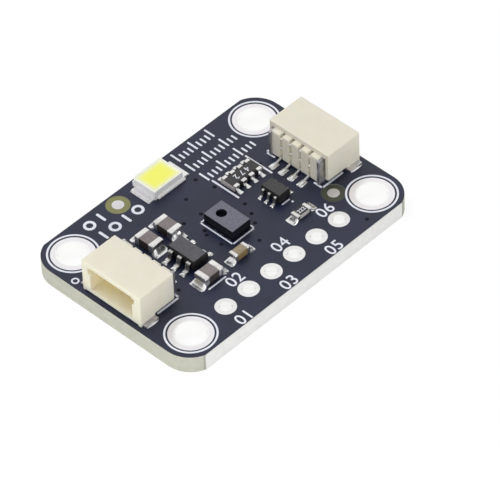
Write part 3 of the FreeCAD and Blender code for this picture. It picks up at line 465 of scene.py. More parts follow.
def makeShadedSides(name, top, side, topRough, sideRough, scale, depth, **sockets):
    # moulded resin or fired ceramic: paler and duller on top, deeper on the sides, where the darkness is painted shade
    finish = Finish(name, **sockets)
    face = finish.group(facingGroup).outputs["Flat"]
    grain = finish.grain(scale, depth)
    speck = finish.span(grain, 0.0, 1.0, 0.40, 0.62)
    topColour = finish.mix(speck, tuple(c * 0.82 for c in top), tuple(min(1.0, c * 1.15) for c in top))
    finish.colour(finish.mix(face, side, topColour))
    blend = finish.add("Mix", data_type="FLOAT")
    finish.link(face, blend.inputs[0])
    blend.inputs[2].default_value = sideRough
    blend.inputs[3].default_value = topRough
    finish.roughness(blend.outputs[0])
    return finish.material


lampLook = {
    "deep": (0.98, 0.99, 0.17),
    "pale": (0.94, 0.96, 0.64),
    "fade": 0.42,
    "frame": (0.95, 0.95, 0.96),
    "frameDeep": (0.91, 0.91, 0.92),
    "spill": 0.24,
}


def makePhosphor():
    # deepest in the middle, fading into the white frame at its edges
    look = lampLook
    finish = Finish("lampPhosphor", Roughness=0.45)
    place = finish.place()
    centre = middle("lamp_phosphor")
    half = corners("lamp_phosphor")[1] - centre
    shares = []
    for axis in "XY":
        off = finish.maths("ABSOLUTE", finish.maths("SUBTRACT", place[axis], getattr(centre, axis.lower())))
        reach = getattr(half, axis.lower())
        shares.append(finish.span(off, 1.0, 0.0, reach - look["fade"], reach))
    depth = finish.maths("MULTIPLY", shares[0], shares[1])
    finish.colour(finish.mix(finish.maths("POWER", depth, 0.6), look["pale"], look["deep"]))
    grain = finish.grain(14000.0, 0.000004)
    finish.roughness(finish.span(grain, 0.35, 0.6, 0.3, 0.7))
    return finish.material


def makeLampFrame():
    # white resin, with a painted yellow glow spilling onto it next to the phosphor
    look = lampLook
    finish = Finish("lampFrame", Roughness=0.36)
    place = finish.place()
    face = finish.group(facingGroup).outputs["Flat"]
    centre = middle("lamp_phosphor")
    half = corners("lamp_phosphor")[1] - centre
    shares = []
    for axis in "XY":
        off = finish.maths("ABSOLUTE", finish.maths("SUBTRACT", place[axis], getattr(centre, axis.lower())))
        reach = getattr(half, axis.lower())
        shares.append(finish.span(off, 1.0, 0.0, reach, reach + look["spill"]))
    # painted glow: the phosphor's pale colour on the flat frame beside it
    tint = finish.maths("MULTIPLY", finish.maths("MULTIPLY", shares[0], shares[1]), face)
    white = finish.mix(finish.blotch(875.0), look["frame"], look["frameDeep"])
    finish.colour(finish.mix(tint, white, look["pale"]))
    grain = finish.grain(7000.0, 0.0000015)
    finish.roughness(finish.span(grain, 0.30, 0.42, 0.3, 0.7))
    return finish.material


materials = {
    "board_mask": makeBoardFinish(),
    "tinned_land": makeLand("tinnedLand", (0.92, 0.90, 0.92), (0.87, 0.85, 0.87), 0.38, 0.46, "mounting_land_1"),
    "header_land": makeLand("headerLand", (0.89, 0.88, 0.88), (0.85, 0.84, 0.84), 0.34, 0.42),
    "alignment_dot": makeLand("alignmentDot", (0.76, 0.75, 0.76), (0.71, 0.70, 0.71), 0.38, 0.46),
    # a paler copy of the contact metal: painted highlight on the prong tips
    "prong_metal": makeMetal("prongMetal", (0.98, 0.97, 0.96), (0.90, 0.89, 0.88), 0.30, 0.45, 4200.0, 0.000002),
    "solder": makeMetal("solderJoint", (0.91, 0.91, 0.91), (0.68, 0.68, 0.69), 0.18, 0.32, 2600.0, 0.000002),
    "socket_nylon": makeNylon(),
    "contact_metal": makeMetal("contactMetal", (0.94, 0.95, 0.98), (0.76, 0.78, 0.82), 0.18, 0.34, 4200.0, 0.000002),
    "lead_metal": makeLeadMetal(),
    "nail_metal": makeMetal("nailMetal", (0.66, 0.65, 0.66), (0.44, 0.43, 0.45), 0.28, 0.44, 4200.0, 0.000003),
    "lamp_frame": makeLampFrame(),
    "lamp_plate": makeMetal("lampPlate", (0.92, 0.91, 0.92), (0.80, 0.79, 0.81), 0.42, 0.56, 7000.0, 0.000003),
    "lamp_fill": makePhosphor(),
    "sensor_case": makeShadedSides("sensorCase", (0.190, 0.190, 0.235), (0.012, 0.013, 0.019), 0.55, 0.60,
                               9000.0, 0.000003, Specular_IOR_Level=0.04),
    "sensor_foot": makePlastic("sensorFoot", (0.006, 0.006, 0.010), (0.003, 0.003, 0.006), 0.50, 0.65,
                               9000.0, 0.000002, Specular_IOR_Level=0.05),
    "sensor_window": makePlastic("sensorWindow", (0.003, 0.003, 0.004), (0.004, 0.003, 0.006), 0.45, 0.60,
                                 3000.0, 0.0000003, Specular_IOR_Level=0.05),
    "chip_resin": makeShadedSides("chipResin", (0.107, 0.106, 0.118), (0.015, 0.014, 0.015), 0.50, 0.45,
                              9000.0, 0.0000035, Specular_IOR_Level=0.30),
    "dull_resin": makeShadedSides("dullResin", (0.066, 0.066, 0.068), (0.010, 0.009, 0.010), 0.55, 0.50,
                              9000.0, 0.0000035, Specular_IOR_Level=0.30),
    "capacitor_ceramic": makeShadedSides("capacitorCeramic", (0.240, 0.207, 0.205), (0.034, 0.023, 0.020), 0.48, 0.42,
                                     7000.0, 0.0000025),
    "tan_ceramic": makeShadedSides("tanCeramic", (0.32, 0.26, 0.175), (0.27, 0.19, 0.085), 0.45, 0.42,
                               7000.0, 0.0000025),
    "array_glaze": makeArrayBody(),
    "resistor_ceramic": makePlastic("resistorCeramic", (0.66, 0.64, 0.62), (0.56, 0.54, 0.52), 0.5, 0.65,
                                    7000.0, 0.000003),
    "resistor_glaze": makePlastic("resistorGlaze", (0.022, 0.020, 0.021), (0.034, 0.030, 0.031), 0.25, 0.40,
                                  5000.0, 0.000002),
    "end_band": makeMetal("endBand", (0.86, 0.85, 0.83), (0.72, 0.71, 0.70), 0.24, 0.42, 5000.0, 0.000003),
    # near-black discs of painted shade over the vias
    "via_pit": makePlastic("viaPit", (0.006, 0.006, 0.010), (0.012, 0.013, 0.020), 0.5, 0.7, 9000.0, 0.000002,
                           Specular_IOR_Level=0.1),
    "printed_ink": makePlastic("printedInk", (0.88, 0.90, 0.98), (0.80, 0.82, 0.91), 0.45, 0.62,
                               9000.0, 0.000003),
}
print("materials made:", len(materials))


# every frame node takes its finish

slotOf = {part["node"]: part["material_slot"] for part in frame["record"]["subparts"]}
finishOf = {
    "shifter_body": "dull_resin",
    "array_body": "array_glaze",
    "lamp_left_lead": "lamp_plate",
    "lamp_right_lead": "lamp_plate",
    "rear_alignment_dot": "alignment_dot",
    "front_alignment_dot": "alignment_dot",
    "sensor_base": "sensor_foot",
}
for number in range(1, 7):
    finishOf[f"header_land_{number}"] = "header_land"
for side in ("left", "right"):
    for end in ("front", "rear"):
        finishOf[f"{side}_socket_{end}_nail"] = "nail_metal"
for nodeName, item in frame["nodes"].items():
    item.data.materials.clear()
    item.data.materials.append(materials[finishOf.get(nodeName, slotOf[nodeName])])
print("frame nodes dressed")


# helpers for new pieces, built in millimetres

def finishPiece(name, bm, slotName, *stoodFor, material=None, smooth=35.0, scale=mm):
    # closes a bmesh into an object that rides with the board
    bmesh.ops.scale(bm, verts=bm.verts, vec=(scale, scale, scale))
    bmesh.ops.recalc_face_normals(bm, faces=bm.faces)
    mesh = bpy.data.meshes.new(name)
    bm.to_mesh(mesh)
    bm.free()
    mesh.shade_smooth()
    mesh.set_sharp_from_angle(angle=math.radians(smooth))
    piece = bpy.data.objects.new(name, mesh)
    bpy.context.scene.collection.objects.link(piece)
    mesh.materials.append(materials[material or slotName])
    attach(piece, "root")
    if stoodFor:
        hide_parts(*stoodFor)
    return piece


def evenShading(piece):
    steady = piece.modifiers.new("evenShading", "WEIGHTED_NORMAL")
    steady.keep_sharp = True
    return piece


def sharpEdges(bm, angle=35.0, within=None):
    edges = within or bm.edges
    return [edge for edge in edges if edge.is_manifold and edge.calc_face_angle() > math.radians(angle)]


def easeEdges(bm, edges, width, segments=2):
    return bmesh.ops.bevel(bm, geom=edges, offset=width, segments=segments, profile=0.5,
                           affect="EDGES", material=-1, clamp_overlap=True)


def softCopy(nodeName, pieceName, width, segments=2, material=None):
    # the frame's own shape with its sharp edges eased
    bm = bmesh.new()
    bm.from_mesh(frame["nodes"][nodeName].data)
    bmesh.ops.scale(bm, verts=bm.verts, vec=(1 / mm, 1 / mm, 1 / mm))
    bmesh.ops.remove_doubles(bm, verts=bm.verts, dist=0.0005)
    bmesh.ops.dissolve_limit(bm, angle_limit=math.radians(1.0), verts=bm.verts, edges=bm.edges)
    easeEdges(bm, sharpEdges(bm), width, segments)
    return evenShading(finishPiece(pieceName, bm, slotOf[nodeName], nodeName, material=material))


def camelName(nodeName):
    words = nodeName.split("_")
    return words[0] + "".join(word.capitalize() for word in words[1:])


def boxBetween(bm, low, high):
    made = bmesh.ops.create_cube(bm, size=1.0)["verts"]
    low = Vector(low)
    high = Vector(high)
    bmesh.ops.scale(bm, verts=made, vec=high - low)
    bmesh.ops.translate(bm, verts=made, vec=(low + high) / 2)
    return made


def edgesOf(verts):
    return list({edge for vert in verts for edge in vert.link_edges})


def upright(edge):
    way = edge.verts[0].co - edge.verts[1].co
    return abs(way.z) > 0.9 * way.length


def placeInto(bm, part, at=(0.0, 0.0, 0.0), turn=0.0):
    # turns and moves a small shape and adds it to a larger one
    bmesh.ops.rotate(part, verts=part.verts, cent=(0, 0, 0), matrix=Matrix.Rotation(turn, 3, "Z"))
    bmesh.ops.translate(part, verts=part.verts, vec=at)
    mesh = bpy.data.meshes.new("part")
    part.to_mesh(mesh)
    part.free()
    bm.from_mesh(mesh)
    bpy.data.meshes.remove(mesh)


heapLook = {
    "steps": 12,
    "cornerPull": 0.18,
    "lumpScale": 3.0,
    "lumpHeight": 0.16,
}


def solderHeap(bm, low, high, level, pull=heapLook["cornerPull"], fan=None):
    # a pad between two corners with solder over it; level(u, v) is the solder's
    # height over the pad, for u along x and v along y, each from -1 to 1;
    # fan (axis, outward sign, share) narrows the near end
    heap = bmesh.new()
    bmesh.ops.create_grid(heap, x_segments=heapLook["steps"], y_segments=heapLook["steps"], size=1.0)
    outline = [edge for edge in heap.edges if edge.is_boundary]
    skirt = bmesh.ops.extrude_edge_only(heap, edges=outline)["geom"]
    foot = {item for item in skirt if isinstance(item, bmesh.types.BMVert)}
    centre = ((low[0] + high[0]) / 2, (low[1] + high[1]) / 2)
    half = ((high[0] - low[0]) / 2, (high[1] - low[1]) / 2)
    for vert in heap.verts:
        u, v = vert.co.x, vert.co.y
        x = half[0] * u * math.sqrt(1 - pull * v * v)
        y = half[1] * v * math.sqrt(1 - pull * u * u)
        if fan:
            axis, sign, share = fan
            narrow = 1 - share * (1 - sign * (u, v)[axis]) / 2
            x, y = (x, y * narrow) if axis == 0 else (x * narrow, y)
        x += centre[0]
        y += centre[1]
        if vert in foot:
            vert.co = (x, y, boardTop)
            continue
        lump = noise.noise(Vector((x, y, 0)) * heapLook["lumpScale"]) * heapLook["lumpHeight"]
        vert.co = (x, y, padTop + level(u, v) * (1 + lump))
    bmesh.ops.holes_fill(heap, edges=[edge for edge in heap.edges if edge.is_boundary], sides=0)
    placeInto(bm, heap)


def dome(rise):
    # solder standing evenly over its pad
    return lambda u, v: rise * (1 - u ** 4) * (1 - v ** 4)


def climbing(climb, axis, sign, rim=0.03):
    # solder that climbs a wall at one end of its pad: concave, and lowest at the far end
    def level(u, v):
        along, across = ((u, v), (v, u))[axis]
        away = (1 + sign * along) / 2
        return (climb * (1 - away) ** 1.8 + rim * (1 - away ** 6)) * (1 - across ** 6)
    return level


def bentStrip(bm, origin, along, across, width, thickness, steps):
    # a flat strip that follows runs and bends; a positive bend turns it towards its underside
    along = Vector(along).normalized()
    across = Vector(across).normalized()
    up = along.cross(across)
    if up.z < 0:
        up = -up
    point = Vector(origin)
    verts = bmesh.ops.create_grid(bm, x_segments=1, y_segments=1, size=0.5)["verts"]
    turn = Matrix((across * width, up * thickness, along)).transposed().to_4x4()
    bmesh.ops.transform(bm, matrix=Matrix.Translation(point) @ turn, verts=verts)
    face = verts[0].link_faces[0]
    for kind, amount, *rest in steps:
        if kind == "run":
            made = bmesh.ops.extrude_face_region(bm, geom=[face])["geom"]
            face = next(item for item in made if isinstance(item, bmesh.types.BMFace))
            bmesh.ops.translate(bm, verts=face.verts, vec=along * amount)
            point = point + along * amount
            continue
        angle = math.radians(amount)
        radius = rest[0]
        side = -up if amount > 0 else up
        centre = point + side * radius
        axis = along.cross(side)
        swung = bmesh.ops.spin(bm, geom=[face, *face.edges, *face.verts], cent=centre, axis=axis,
                               angle=abs(angle), steps=4, use_duplicate=False)["geom_last"]
        face = next(item for item in swung if isinstance(item, bmesh.types.BMFace))
        spun = Matrix.Rotation(abs(angle), 3, axis)
        point = centre + spun @ (point - centre)
        along = spun @ along
        up = spun @ up


# moulded pieces keep the frame's shape, with eased edges

edgeWidths = {
    "left_socket_housing": 0.05,
    "right_socket_housing": 0.05,
    "left_socket_rear_nail": 0.03,
    "left_socket_front_nail": 0.03,
    "right_socket_rear_nail": 0.03,
    "right_socket_front_nail": 0.03,
    "lamp_body": 0.03,
    "lamp_left_lead": 0.03,
    "lamp_right_lead": 0.03,
    "regulator_body": 0.035,
    "shifter_body": 0.03,
    "sensor_cap": 0.02,
    "sensor_base": 0.02,
    "array_body": 0.02,
    "array_terminals": 0.03,
}

for side in ("left", "right"):
    for number in range(1, 5):
        edgeWidths[f"{side}_socket_contact_{number}"] = 0.025
for nodeName, width in edgeWidths.items():
    softCopy(nodeName, camelName(nodeName), width, material=finishOf.get(nodeName))
print("moulded pieces eased:", len(edgeWidths))


prongs = {
    "tips": (8.14, 8.34),
    "halfWidth": 0.1,
    "levels": ((2.78, 3.00), (3.76, 3.97)),
    "easing": 0.07,
}


def makeProngTips(side, sign):
    # the contacts' prongs reach forward between the ribs and catch the light; their paler copy of the contact metal is
    # a painted highlight
    tips = bmesh.new()
    ends = sorted(sign * x for x in prongs["tips"])
    for number in range(1, 5):
        y = middle(f"{side}_socket_contact_{number}").y
        for low, high in prongs["levels"]:
            box = boxBetween(tips, (ends[0], y - prongs["halfWidth"], low), (ends[1], y + prongs["halfWidth"], high))
            easeEdges(tips, edgesOf(box), prongs["easing"], 3)
    finishPiece(side + "ProngTips", tips, "contact_metal", material="prong_metal", smooth=60)


for side, sign in (("left", -1), ("right", 1)):
    makeProngTips(side, sign)


# chips with metal ends

bandedChips = {
    "input_capacitor": {"axis": 1, "band": 0.50, "easing": 0.07, "foot": 0.55, "pad": 1.45, "body": 0.05},
    "output_capacitor": {"axis": 1, "band": 0.50, "easing": 0.07, "foot": 0.55, "pad": 1.45, "body": 0.05},
    "supply_capacitor": {"axis": 0, "band": 0.50, "easing": 0.07, "foot": 0.55, "pad": 1.45, "body": 0.05},
    "sensor_capacitor": {"axis": 0, "band": 0.32, "easing": 0.06, "foot": 0.55, "pad": 0.93, "body": 0.05},
    "resistor": {"axis": 0, "band": 0.30, "easing": 0.04, "foot": 0.58, "pad": 0.98, "body": 0.02},
}


def makeBandedChip(name, shape):
    axis = shape["axis"]
    low, high = corners(name + "_bands")
    body = bmesh.new()
    inset = Vector((0.02, 0.02, 0.02))
    easeEdges(body, edgesOf(boxBetween(body, low + inset, high - inset)), shape["body"], 3)
    finishPiece(camelName(name) + "Body", body, slotOf[name + "_body"], name + "_body", smooth=50)
    bands = bmesh.new()
    for end in (0, 1):
        near = low.copy()
        far = high.copy()
        if end:
            near[axis] = high[axis] - shape["band"]
        else:
            far[axis] = low[axis] + shape["band"]
        easeEdges(bands, edgesOf(boxBetween(bands, near, far)), shape["easing"], 3)
    finishPiece(camelName(name) + "Bands", bands, "end_band", name + "_bands", smooth=50)
    return low, high


solderShape = {
    "chipClimb": 0.62,  # share of the chip's height
    "chipFan": 0.0,
    "contactRise": 0.08,
    "nailRise": 0.06,
    "nailFrom": 2.2,
    "sensorRise": 0.02,
    "arrayClimb": 0.26,
    "arrayFan": 0.5,
    "lampRise": 0.05,
    "leadFan": 0.4,
}


def chipJoints(bm, shape, low, high):
    # one leaning heap of solder at each end of a chip
    axis = shape["axis"]
    other = 1 - axis
    centre = (low[other] + high[other]) / 2
    height = high.z - low.z
    for end in (-1, 1):
        face = high[axis] if end > 0 else low[axis]
        span = sorted((face - end * 0.12, face + end * shape["foot"]))
        padLow = [0.0, 0.0]
        padHigh = [0.0, 0.0]
        padLow[axis], padHigh[axis] = span
        padLow[other] = centre - shape["pad"] / 2
        padHigh[other] = centre + shape["pad"] / 2
        solderHeap(bm, padLow, padHigh, climbing(height * solderShape["chipClimb"], axis, end))


capacitorSolder = bmesh.new()
for name, shape in bandedChips.items():
    low, high = makeBandedChip(name, shape)
    if name != "resistor":
        chipJoints(capacitorSolder, shape, low, high)
finishPiece("capacitorSolder", capacitorSolder, "solder", "capacitor_solder", smooth=70)
resistorSolder = bmesh.new()
chipJoints(resistorSolder, bandedChips["resistor"], *corners("resistor_bands"))
finishPiece("resistorSolder", resistorSolder, "solder", "resistor_solder", smooth=70)
print("banded chips built:", len(bandedChips))


# chips with bent leads

leadedChips = {
    "regulator": {"pitch": 0.95, "width": 0.40, "thickness": 0.14, "inside": 0.09, "shoulder": 0.03, "bend": 0.12,
                  "slope": 78.0, "left": (-1, 0, 1), "right": (-1, 1), "padReach": 0.34, "padWidth": 0.56},
    "shifter": {"pitch": 0.65, "width": 0.22, "thickness": 0.12, "inside": 0.07, "shoulder": 0.03, "bend": 0.09,
                "slope": 80.0, "left": (-1, 0, 1), "right": (-1, 0, 1), "padReach": 0.18, "padWidth": 0.36},
}


def makeLeads(name, shape):
    bodyLow, bodyHigh = corners(name + "_body")
    leadLow, leadHigh = corners(name + "_leads")
    centre = (bodyLow + bodyHigh) / 2
    shoulderLevel = leadHigh.z - shape["thickness"] / 2
    footLevel = padTop + shape["thickness"] / 2
    slope = math.radians(shape["slope"])
    drop = shoulderLevel - footLevel - 2 * shape["bend"] * (1 - math.cos(slope))
    leg = drop / math.sin(slope)
    shoulder = shape["shoulder"]
    leads = bmesh.new()
    joints = bmesh.new()
    for sign, places, tip in ((-1, shape["left"], leadLow.x), (1, shape["right"], leadHigh.x)):
        face = bodyHigh.x if sign > 0 else bodyLow.x
        root = face - sign * shape["inside"]
        used = shape["inside"] + shoulder + 2 * shape["bend"] * math.sin(slope) + leg * math.cos(slope)
        foot = abs(tip - root) - used
        for place in places:
            y = centre.y + place * shape["pitch"]
            bentStrip(leads, (root, y, shoulderLevel), (sign, 0, 0), (0, 1, 0), shape["width"], shape["thickness"],
                      (("run", shape["inside"] + shoulder), ("bend", shape["slope"], shape["bend"]),
                       ("run", leg), ("bend", -shape["slope"], shape["bend"]), ("run", foot)))
            padNear = tip - sign * (foot + 0.14)
            padFar = tip + sign * shape["padReach"]
            xs = sorted((padNear, padFar))
            half = shape["padWidth"] / 2
            solderHeap(joints, (xs[0], y - half), (xs[1], y + half), dome(shape["thickness"] * 0.8),
                       fan=(0, sign, solderShape["leadFan"]))
    bmesh.ops.holes_fill(leads, edges=[edge for edge in leads.edges if edge.is_boundary], sides=0)
    easeEdges(leads, sharpEdges(leads, 50), 0.012, 2)
    finishPiece(name + "Leads", leads, "contact_metal", name + "_leads", smooth=40, material="lead_metal")
    finishPiece(name + "Solder", joints, "solder", name + "_solder", smooth=70)


for name, shape in leadedChips.items():
    makeLeads(name, shape)
print("bent leads built")


# the other solder joints

def heapsFor(nodeName, pieceName, levelOf, under=None, fanOf=None, pull=heapLook["cornerPull"], material=None):
    # one heap over each pad of a frame node, found as its separate solids;
    # pads wholly under another node stop at its edge
    roof = corners(under) if under else None
    bm = bmesh.new()
    source = bmesh.new()
    source.from_mesh(frame["nodes"][nodeName].data)
    bmesh.ops.scale(source, verts=source.verts, vec=(1 / mm, 1 / mm, 1 / mm))
    bmesh.ops.remove_doubles(source, verts=source.verts, dist=0.0005)
    waiting = set(source.verts)
    while waiting:
        island = [waiting.pop()]
        for vert in island:
            for edge in vert.link_edges:
                other = edge.other_vert(vert)
                if other in waiting:
                    waiting.remove(other)
                    island.append(other)
        xs = [vert.co.x for vert in island]
        ys = [vert.co.y for vert in island]
        low = (min(xs), min(ys))
        high = (max(xs), max(ys))
        if roof:
            low = (max(low[0], roof[0].x), max(low[1], roof[0].y))
            high = (min(high[0], roof[1].x), min(high[1], roof[1].y))
        solderHeap(bm, low, high, levelOf(low, high), pull, fanOf(low, high) if fanOf else None)
    source.free()
    return finishPiece(pieceName, bm, "solder", nodeName, smooth=70, material=material)


def socketLevel(low, high):
    # the pads beyond the housing's ends belong to the nails and carry little solder
    isNail = abs(low[1] + high[1]) / 2 > solderShape["nailFrom"]
    return dome(solderShape["nailRise"] if isNail else solderShape["contactRise"])


def arraySide(low, high):
    return 1 if (low[1] + high[1]) / 2 > middle("array_body").y else -1


def arrayLevel(low, high):
    return climbing(solderShape["arrayClimb"], 1, arraySide(low, high))


def arrayFan(low, high):
    return (1, arraySide(low, high), solderShape["arrayFan"])


for side in ("left", "right"):
    heapsFor(side + "_socket_solder", side + "SocketSolder", socketLevel)
heapsFor("array_solder", "arraySolder", arrayLevel, fanOf=arrayFan)
heapsFor("sensor_solder", "sensorSolder", lambda low, high: dome(solderShape["sensorRise"]), "sensor_base")
heapsFor("lamp_solder", "lampSolder", lambda low, high: dome(solderShape["lampRise"]), pull=0.02,
         material="lamp_plate")
print("solder joints built")


# dark glaze and plain figures on the resistors

glaze = {
    "arrayInset": (0.06, 0.32),
    "arrayHigh": 0.012,
    "arrayWords": "472",
    "arrayFigure": 0.56,
    "arrayPitch": 0.60,
    "resistorInset": 0.30,
}


def flatPlate(bm, low, high, level, high2, corner):
    verts = boxBetween(bm, (*low, level), (*high, level + high2))
    easeEdges(bm, [edge for edge in edgesOf(verts) if upright(edge)], corner, 3)


def textMesh(words, height, bold, thickness):
    # plain figures as a mesh, its lower left corner at the origin, in millimetres
    curve = bpy.data.curves.new("figures", "FONT")
    curve.body = words
    curve.size = height / 0.73
    curve.offset = bold
    curve.extrude = thickness / 2
    curve.resolution_u = 4
    curve.space_character = 1.05
    holder = bpy.data.objects.new("figures", curve)
    mesh = bpy.data.meshes.new_from_object(holder)
    bpy.data.objects.remove(holder)
    bpy.data.curves.remove(curve)
    return mesh


def addFigures(bm, words, centre, height, bold, level, thickness, turn=0.0):
    mesh = textMesh(words, height, bold, thickness)
    before = set(bm.verts)
    bm.from_mesh(mesh)
    bpy.data.meshes.remove(mesh)
    verts = [vert for vert in bm.verts if vert not in before]
    xs = [vert.co.x for vert in verts]
    ys = [vert.co.y for vert in verts]
    shift = Vector((-(min(xs) + max(xs)) / 2, -(min(ys) + max(ys)) / 2, 0))
    bmesh.ops.translate(bm, verts=verts, vec=shift)
    bmesh.ops.rotate(bm, verts=verts, cent=(0, 0, 0), matrix=Matrix.Rotation(math.radians(turn), 3, "Z"))
    bmesh.ops.translate(bm, verts=verts, vec=(*centre, level + thickness / 2))


def makeGlaze():
    low, high = corners("array_body")
    plate = bmesh.new()
    flatPlate(plate, (low.x + glaze["arrayInset"][0], low.y + glaze["arrayInset"][1]),
              (high.x - glaze["arrayInset"][0], high.y - glaze["arrayInset"][1]), high.z, glaze["arrayHigh"], 0.05)
    finishPiece("arrayGlaze", plate, "resistor_ceramic", material="resistor_glaze")
    figures = bmesh.new()
    centre = middle("array_body")
    for place, word in enumerate(glaze["arrayWords"]):
        x = centre.x - (place - 1) * glaze["arrayPitch"]
        addFigures(figures, word, (x, centre.y), glaze["arrayFigure"], 0.002, high.z + glaze["arrayHigh"], 0.006, 180.0)
    low, high = corners("resistor_bands")
    plate = bmesh.new()
    inset = glaze["resistorInset"] + 0.04
    flatPlate(plate, (low.x + inset, low.y + 0.03), (high.x - inset, high.y - 0.03),
              high.z - 0.02, glaze["arrayHigh"], 0.03)
    finishPiece("resistorGlaze", plate, "resistor_ceramic", material="resistor_glaze")
    centre = middle("resistor_bands")
    addFigures(figures, "222", (centre.x, centre.y), 0.36, 0.008, high.z - 0.02 + glaze["arrayHigh"], 0.006)
    finishPiece("resistorFigures", figures, "printed_ink")


makeGlaze()
print("glaze and figures built")


# printed legend: rings, brackets, outlines, pin numbers and a plain scale

legend = {
    "thickness": 0.02,
    "line": 0.17,
    "ringRadius": 2.03,
    "ringWidth": 0.16,
    "pinCount": 6,
    "figureHeight": 1.10,
    "figureBold": 0.008,
    "outlineLine": 0.13,
    "frontGap": 1.80,
    "rearGap": 1.49,
    "outlineGap": 0.14,
    "bracketGap": 0.10,
    "bracketInside": 0.21,
    "bracketLength": 2.28,
    "scaleStart": 2.75,
    "markStroke": 0.24,
    "markSize": 1.05,
}


def addStroke(bm, start, end, width):
    # a line of ink with round ends
    way = Vector(end) - Vector(start)
    reach = width / 2
    stroke = bmesh.new()
    boxBetween(stroke, (-reach, -reach, boardTop), (way.length + reach, reach, boardTop + legend["thickness"]))
    easeEdges(stroke, [edge for edge in stroke.edges if upright(edge)], width * 0.46, 4)
    placeInto(bm, stroke, (*start, 0), math.atan2(way.y, way.x))


def addRing(bm, centre, radius, width, segments=64):
    # a square profile spun about the hole
    ring = bmesh.new()
    inner = radius - width / 2
    outer = radius + width / 2
    low = boardTop
    high = boardTop + legend["thickness"]
    corner = [ring.verts.new((x, 0, z)) for x, z in ((inner, low), (outer, low), (outer, high), (inner, high))]
    loop = [ring.edges.new((corner[i], corner[(i + 1) % 4])) for i in range(4)]
    bmesh.ops.spin(ring, geom=corner + loop, cent=(0, 0, 0), axis=(0, 0, 1), angle=math.tau, steps=segments,
                   use_merge=True, use_duplicate=False)
    placeInto(bm, ring, (*centre, 0))


def addSpot(bm, centre, radius):
    made = bmesh.ops.create_cone(bm, cap_ends=True, segments=24, radius1=radius, radius2=radius,
                                 depth=legend["thickness"])["verts"]
    bmesh.ops.translate(bm, verts=made, vec=(*centre, boardTop + legend["thickness"] / 2))


def makeLegend():
    ink = bmesh.new()
    line = legend["line"]
    for number in range(1, 5):
        spot = middle(f"mounting_land_{number}")
        addRing(ink, (spot.x, spot.y), legend["ringRadius"], legend["ringWidth"])
    addRing(ink, (-12.13, 4.13), 0.265, 0.13, 32)
    # brackets behind each socket
    for side, sign in (("left", -1), ("right", 1)):
        low, high = corners(side + "_socket_housing")
        back = low.x if sign > 0 else high.x
        corner = back - sign * legend["bracketGap"]
        reach = corner + sign * legend["bracketLength"]
        for end in (-1, 1):
            edge = end * (high.y - legend["bracketInside"] + line / 2)
            addStroke(ink, (corner, edge - end * 0.85), (corner, edge), line)
            addStroke(ink, (corner, edge), (reach, edge), line)
    # outline round the sensor
    low, high = corners("sensor_base")
    gap = legend["outlineGap"] + legend["outlineLine"] / 2
    x0, x1 = low.x - gap, high.x + gap
    y0, y1 = low.y - gap, high.y + gap
    for start, end in (((x0, y0), (x1, y0)), ((x1, y0), (x1, y1)), ((x1, y1), (x0, y1)), ((x0, y1), (x0, y0))):
        addStroke(ink, start, end, legend["outlineLine"])
    # lines beside the array, the shifter and the supply capacitor
    low, high = corners("array_body")
    centre = middle("array_body")
    for x in (low.x - 0.21, high.x + 0.36):
        addStroke(ink, (x, centre.y - 1.35), (x, centre.y + 1.45), line)
    low, high = corners("shifter_body")
    centre = middle("shifter_body")
    addStroke(ink, (centre.x - 0.38, low.y - 0.1), (centre.x + 0.38, low.y - 0.1), line * 0.8)
    addSpot(ink, (centre.x + 0.4, low.y - 0.45), 0.1)
    low, high = corners("supply_capacitor_bands")
    addStroke(ink, (low.x + 0.1, low.y - 0.24), (high.x - 0.1, low.y - 0.24), line * 0.8)
    # plain numbers at the header holes
    for number in range(1, legend["pinCount"] + 1):
        hole = middle(f"header_land_{number}")
        offset = legend["rearGap"] if number % 2 == 0 else -legend["frontGap"]
        addFigures(ink, f"0{number}", (hole.x, hole.y + offset), legend["figureHeight"], legend["figureBold"],
                   boardTop, legend["thickness"])
    # a plain scale of ticks in three rows
    for row, ticks in enumerate((9, 11, 12)):
        for tick in range(ticks):
            share = 1.0 if tick % 4 == 0 else 0.6
            x = legend["scaleStart"] + tick * 0.48
            foot = boardHalfWidth - 0.84 - row * 1.58 - 0.575
            addStroke(ink, (x, foot + line / 2), (x, foot + share * 1.15 - line / 2), line)
    # rings and bars in two rows
    hole = middle("mounting_land_2")
    for row, count in enumerate((2, 4)):
        for place in range(count):
            spot = (hole.x + 3.01 + place * 1.26, boardHalfWidth - 1.16 - row * 1.55)
            half = legend["markSize"] / 2
            stroke = legend["markStroke"]
            if (place + row) % 2 == 0:
                addRing(ink, spot, half - stroke / 2, stroke, 40)
            else:
                addStroke(ink, (spot[0], spot[1] - half + stroke / 2), (spot[0], spot[1] + half - stroke / 2), stroke)
    finishPiece("printedLegend", ink, "printed_ink", "printed_legend")


makeLegend()
print("legend printed")


# tented vias in the board, drawn as discs of painted shade

vias = {
    "places": ((2.06, 5.01), (-0.02, 4.04), (2.70, 0.27), (2.27, -0.86), (-0.40, 2.04), (1.70, -1.77),
               (0.54, -3.35), (7.82, -7.96), (6.75, 2.49), (2.47, 3.35), (-7.50, -2.46), (-2.06, 2.29),
               (-1.74, -1.45), (-1.78, 0.10), (-1.55, 0.54)),
    "radius": 0.175,
    "height": 0.006,
}


def makeVias():
    # painted shade: dark discs where the mask dips into hollows over filled holes
    shadeDiscs = bmesh.new()
    for x, y in vias["places"]:
        shadeDisc = bmesh.ops.create_cone(shadeDiscs, cap_ends=True, segments=20, radius1=vias["radius"],
                                    radius2=vias["radius"] * 0.9, depth=vias["height"])["verts"]
        bmesh.ops.translate(shadeDiscs, verts=shadeDisc, vec=(x, y, boardTop + vias["height"] / 2))
    finishPiece("viaPits", shadeDiscs, "board_mask", material="via_pit", smooth=50)


makeVias()
print("vias built")


# camera, floor and light

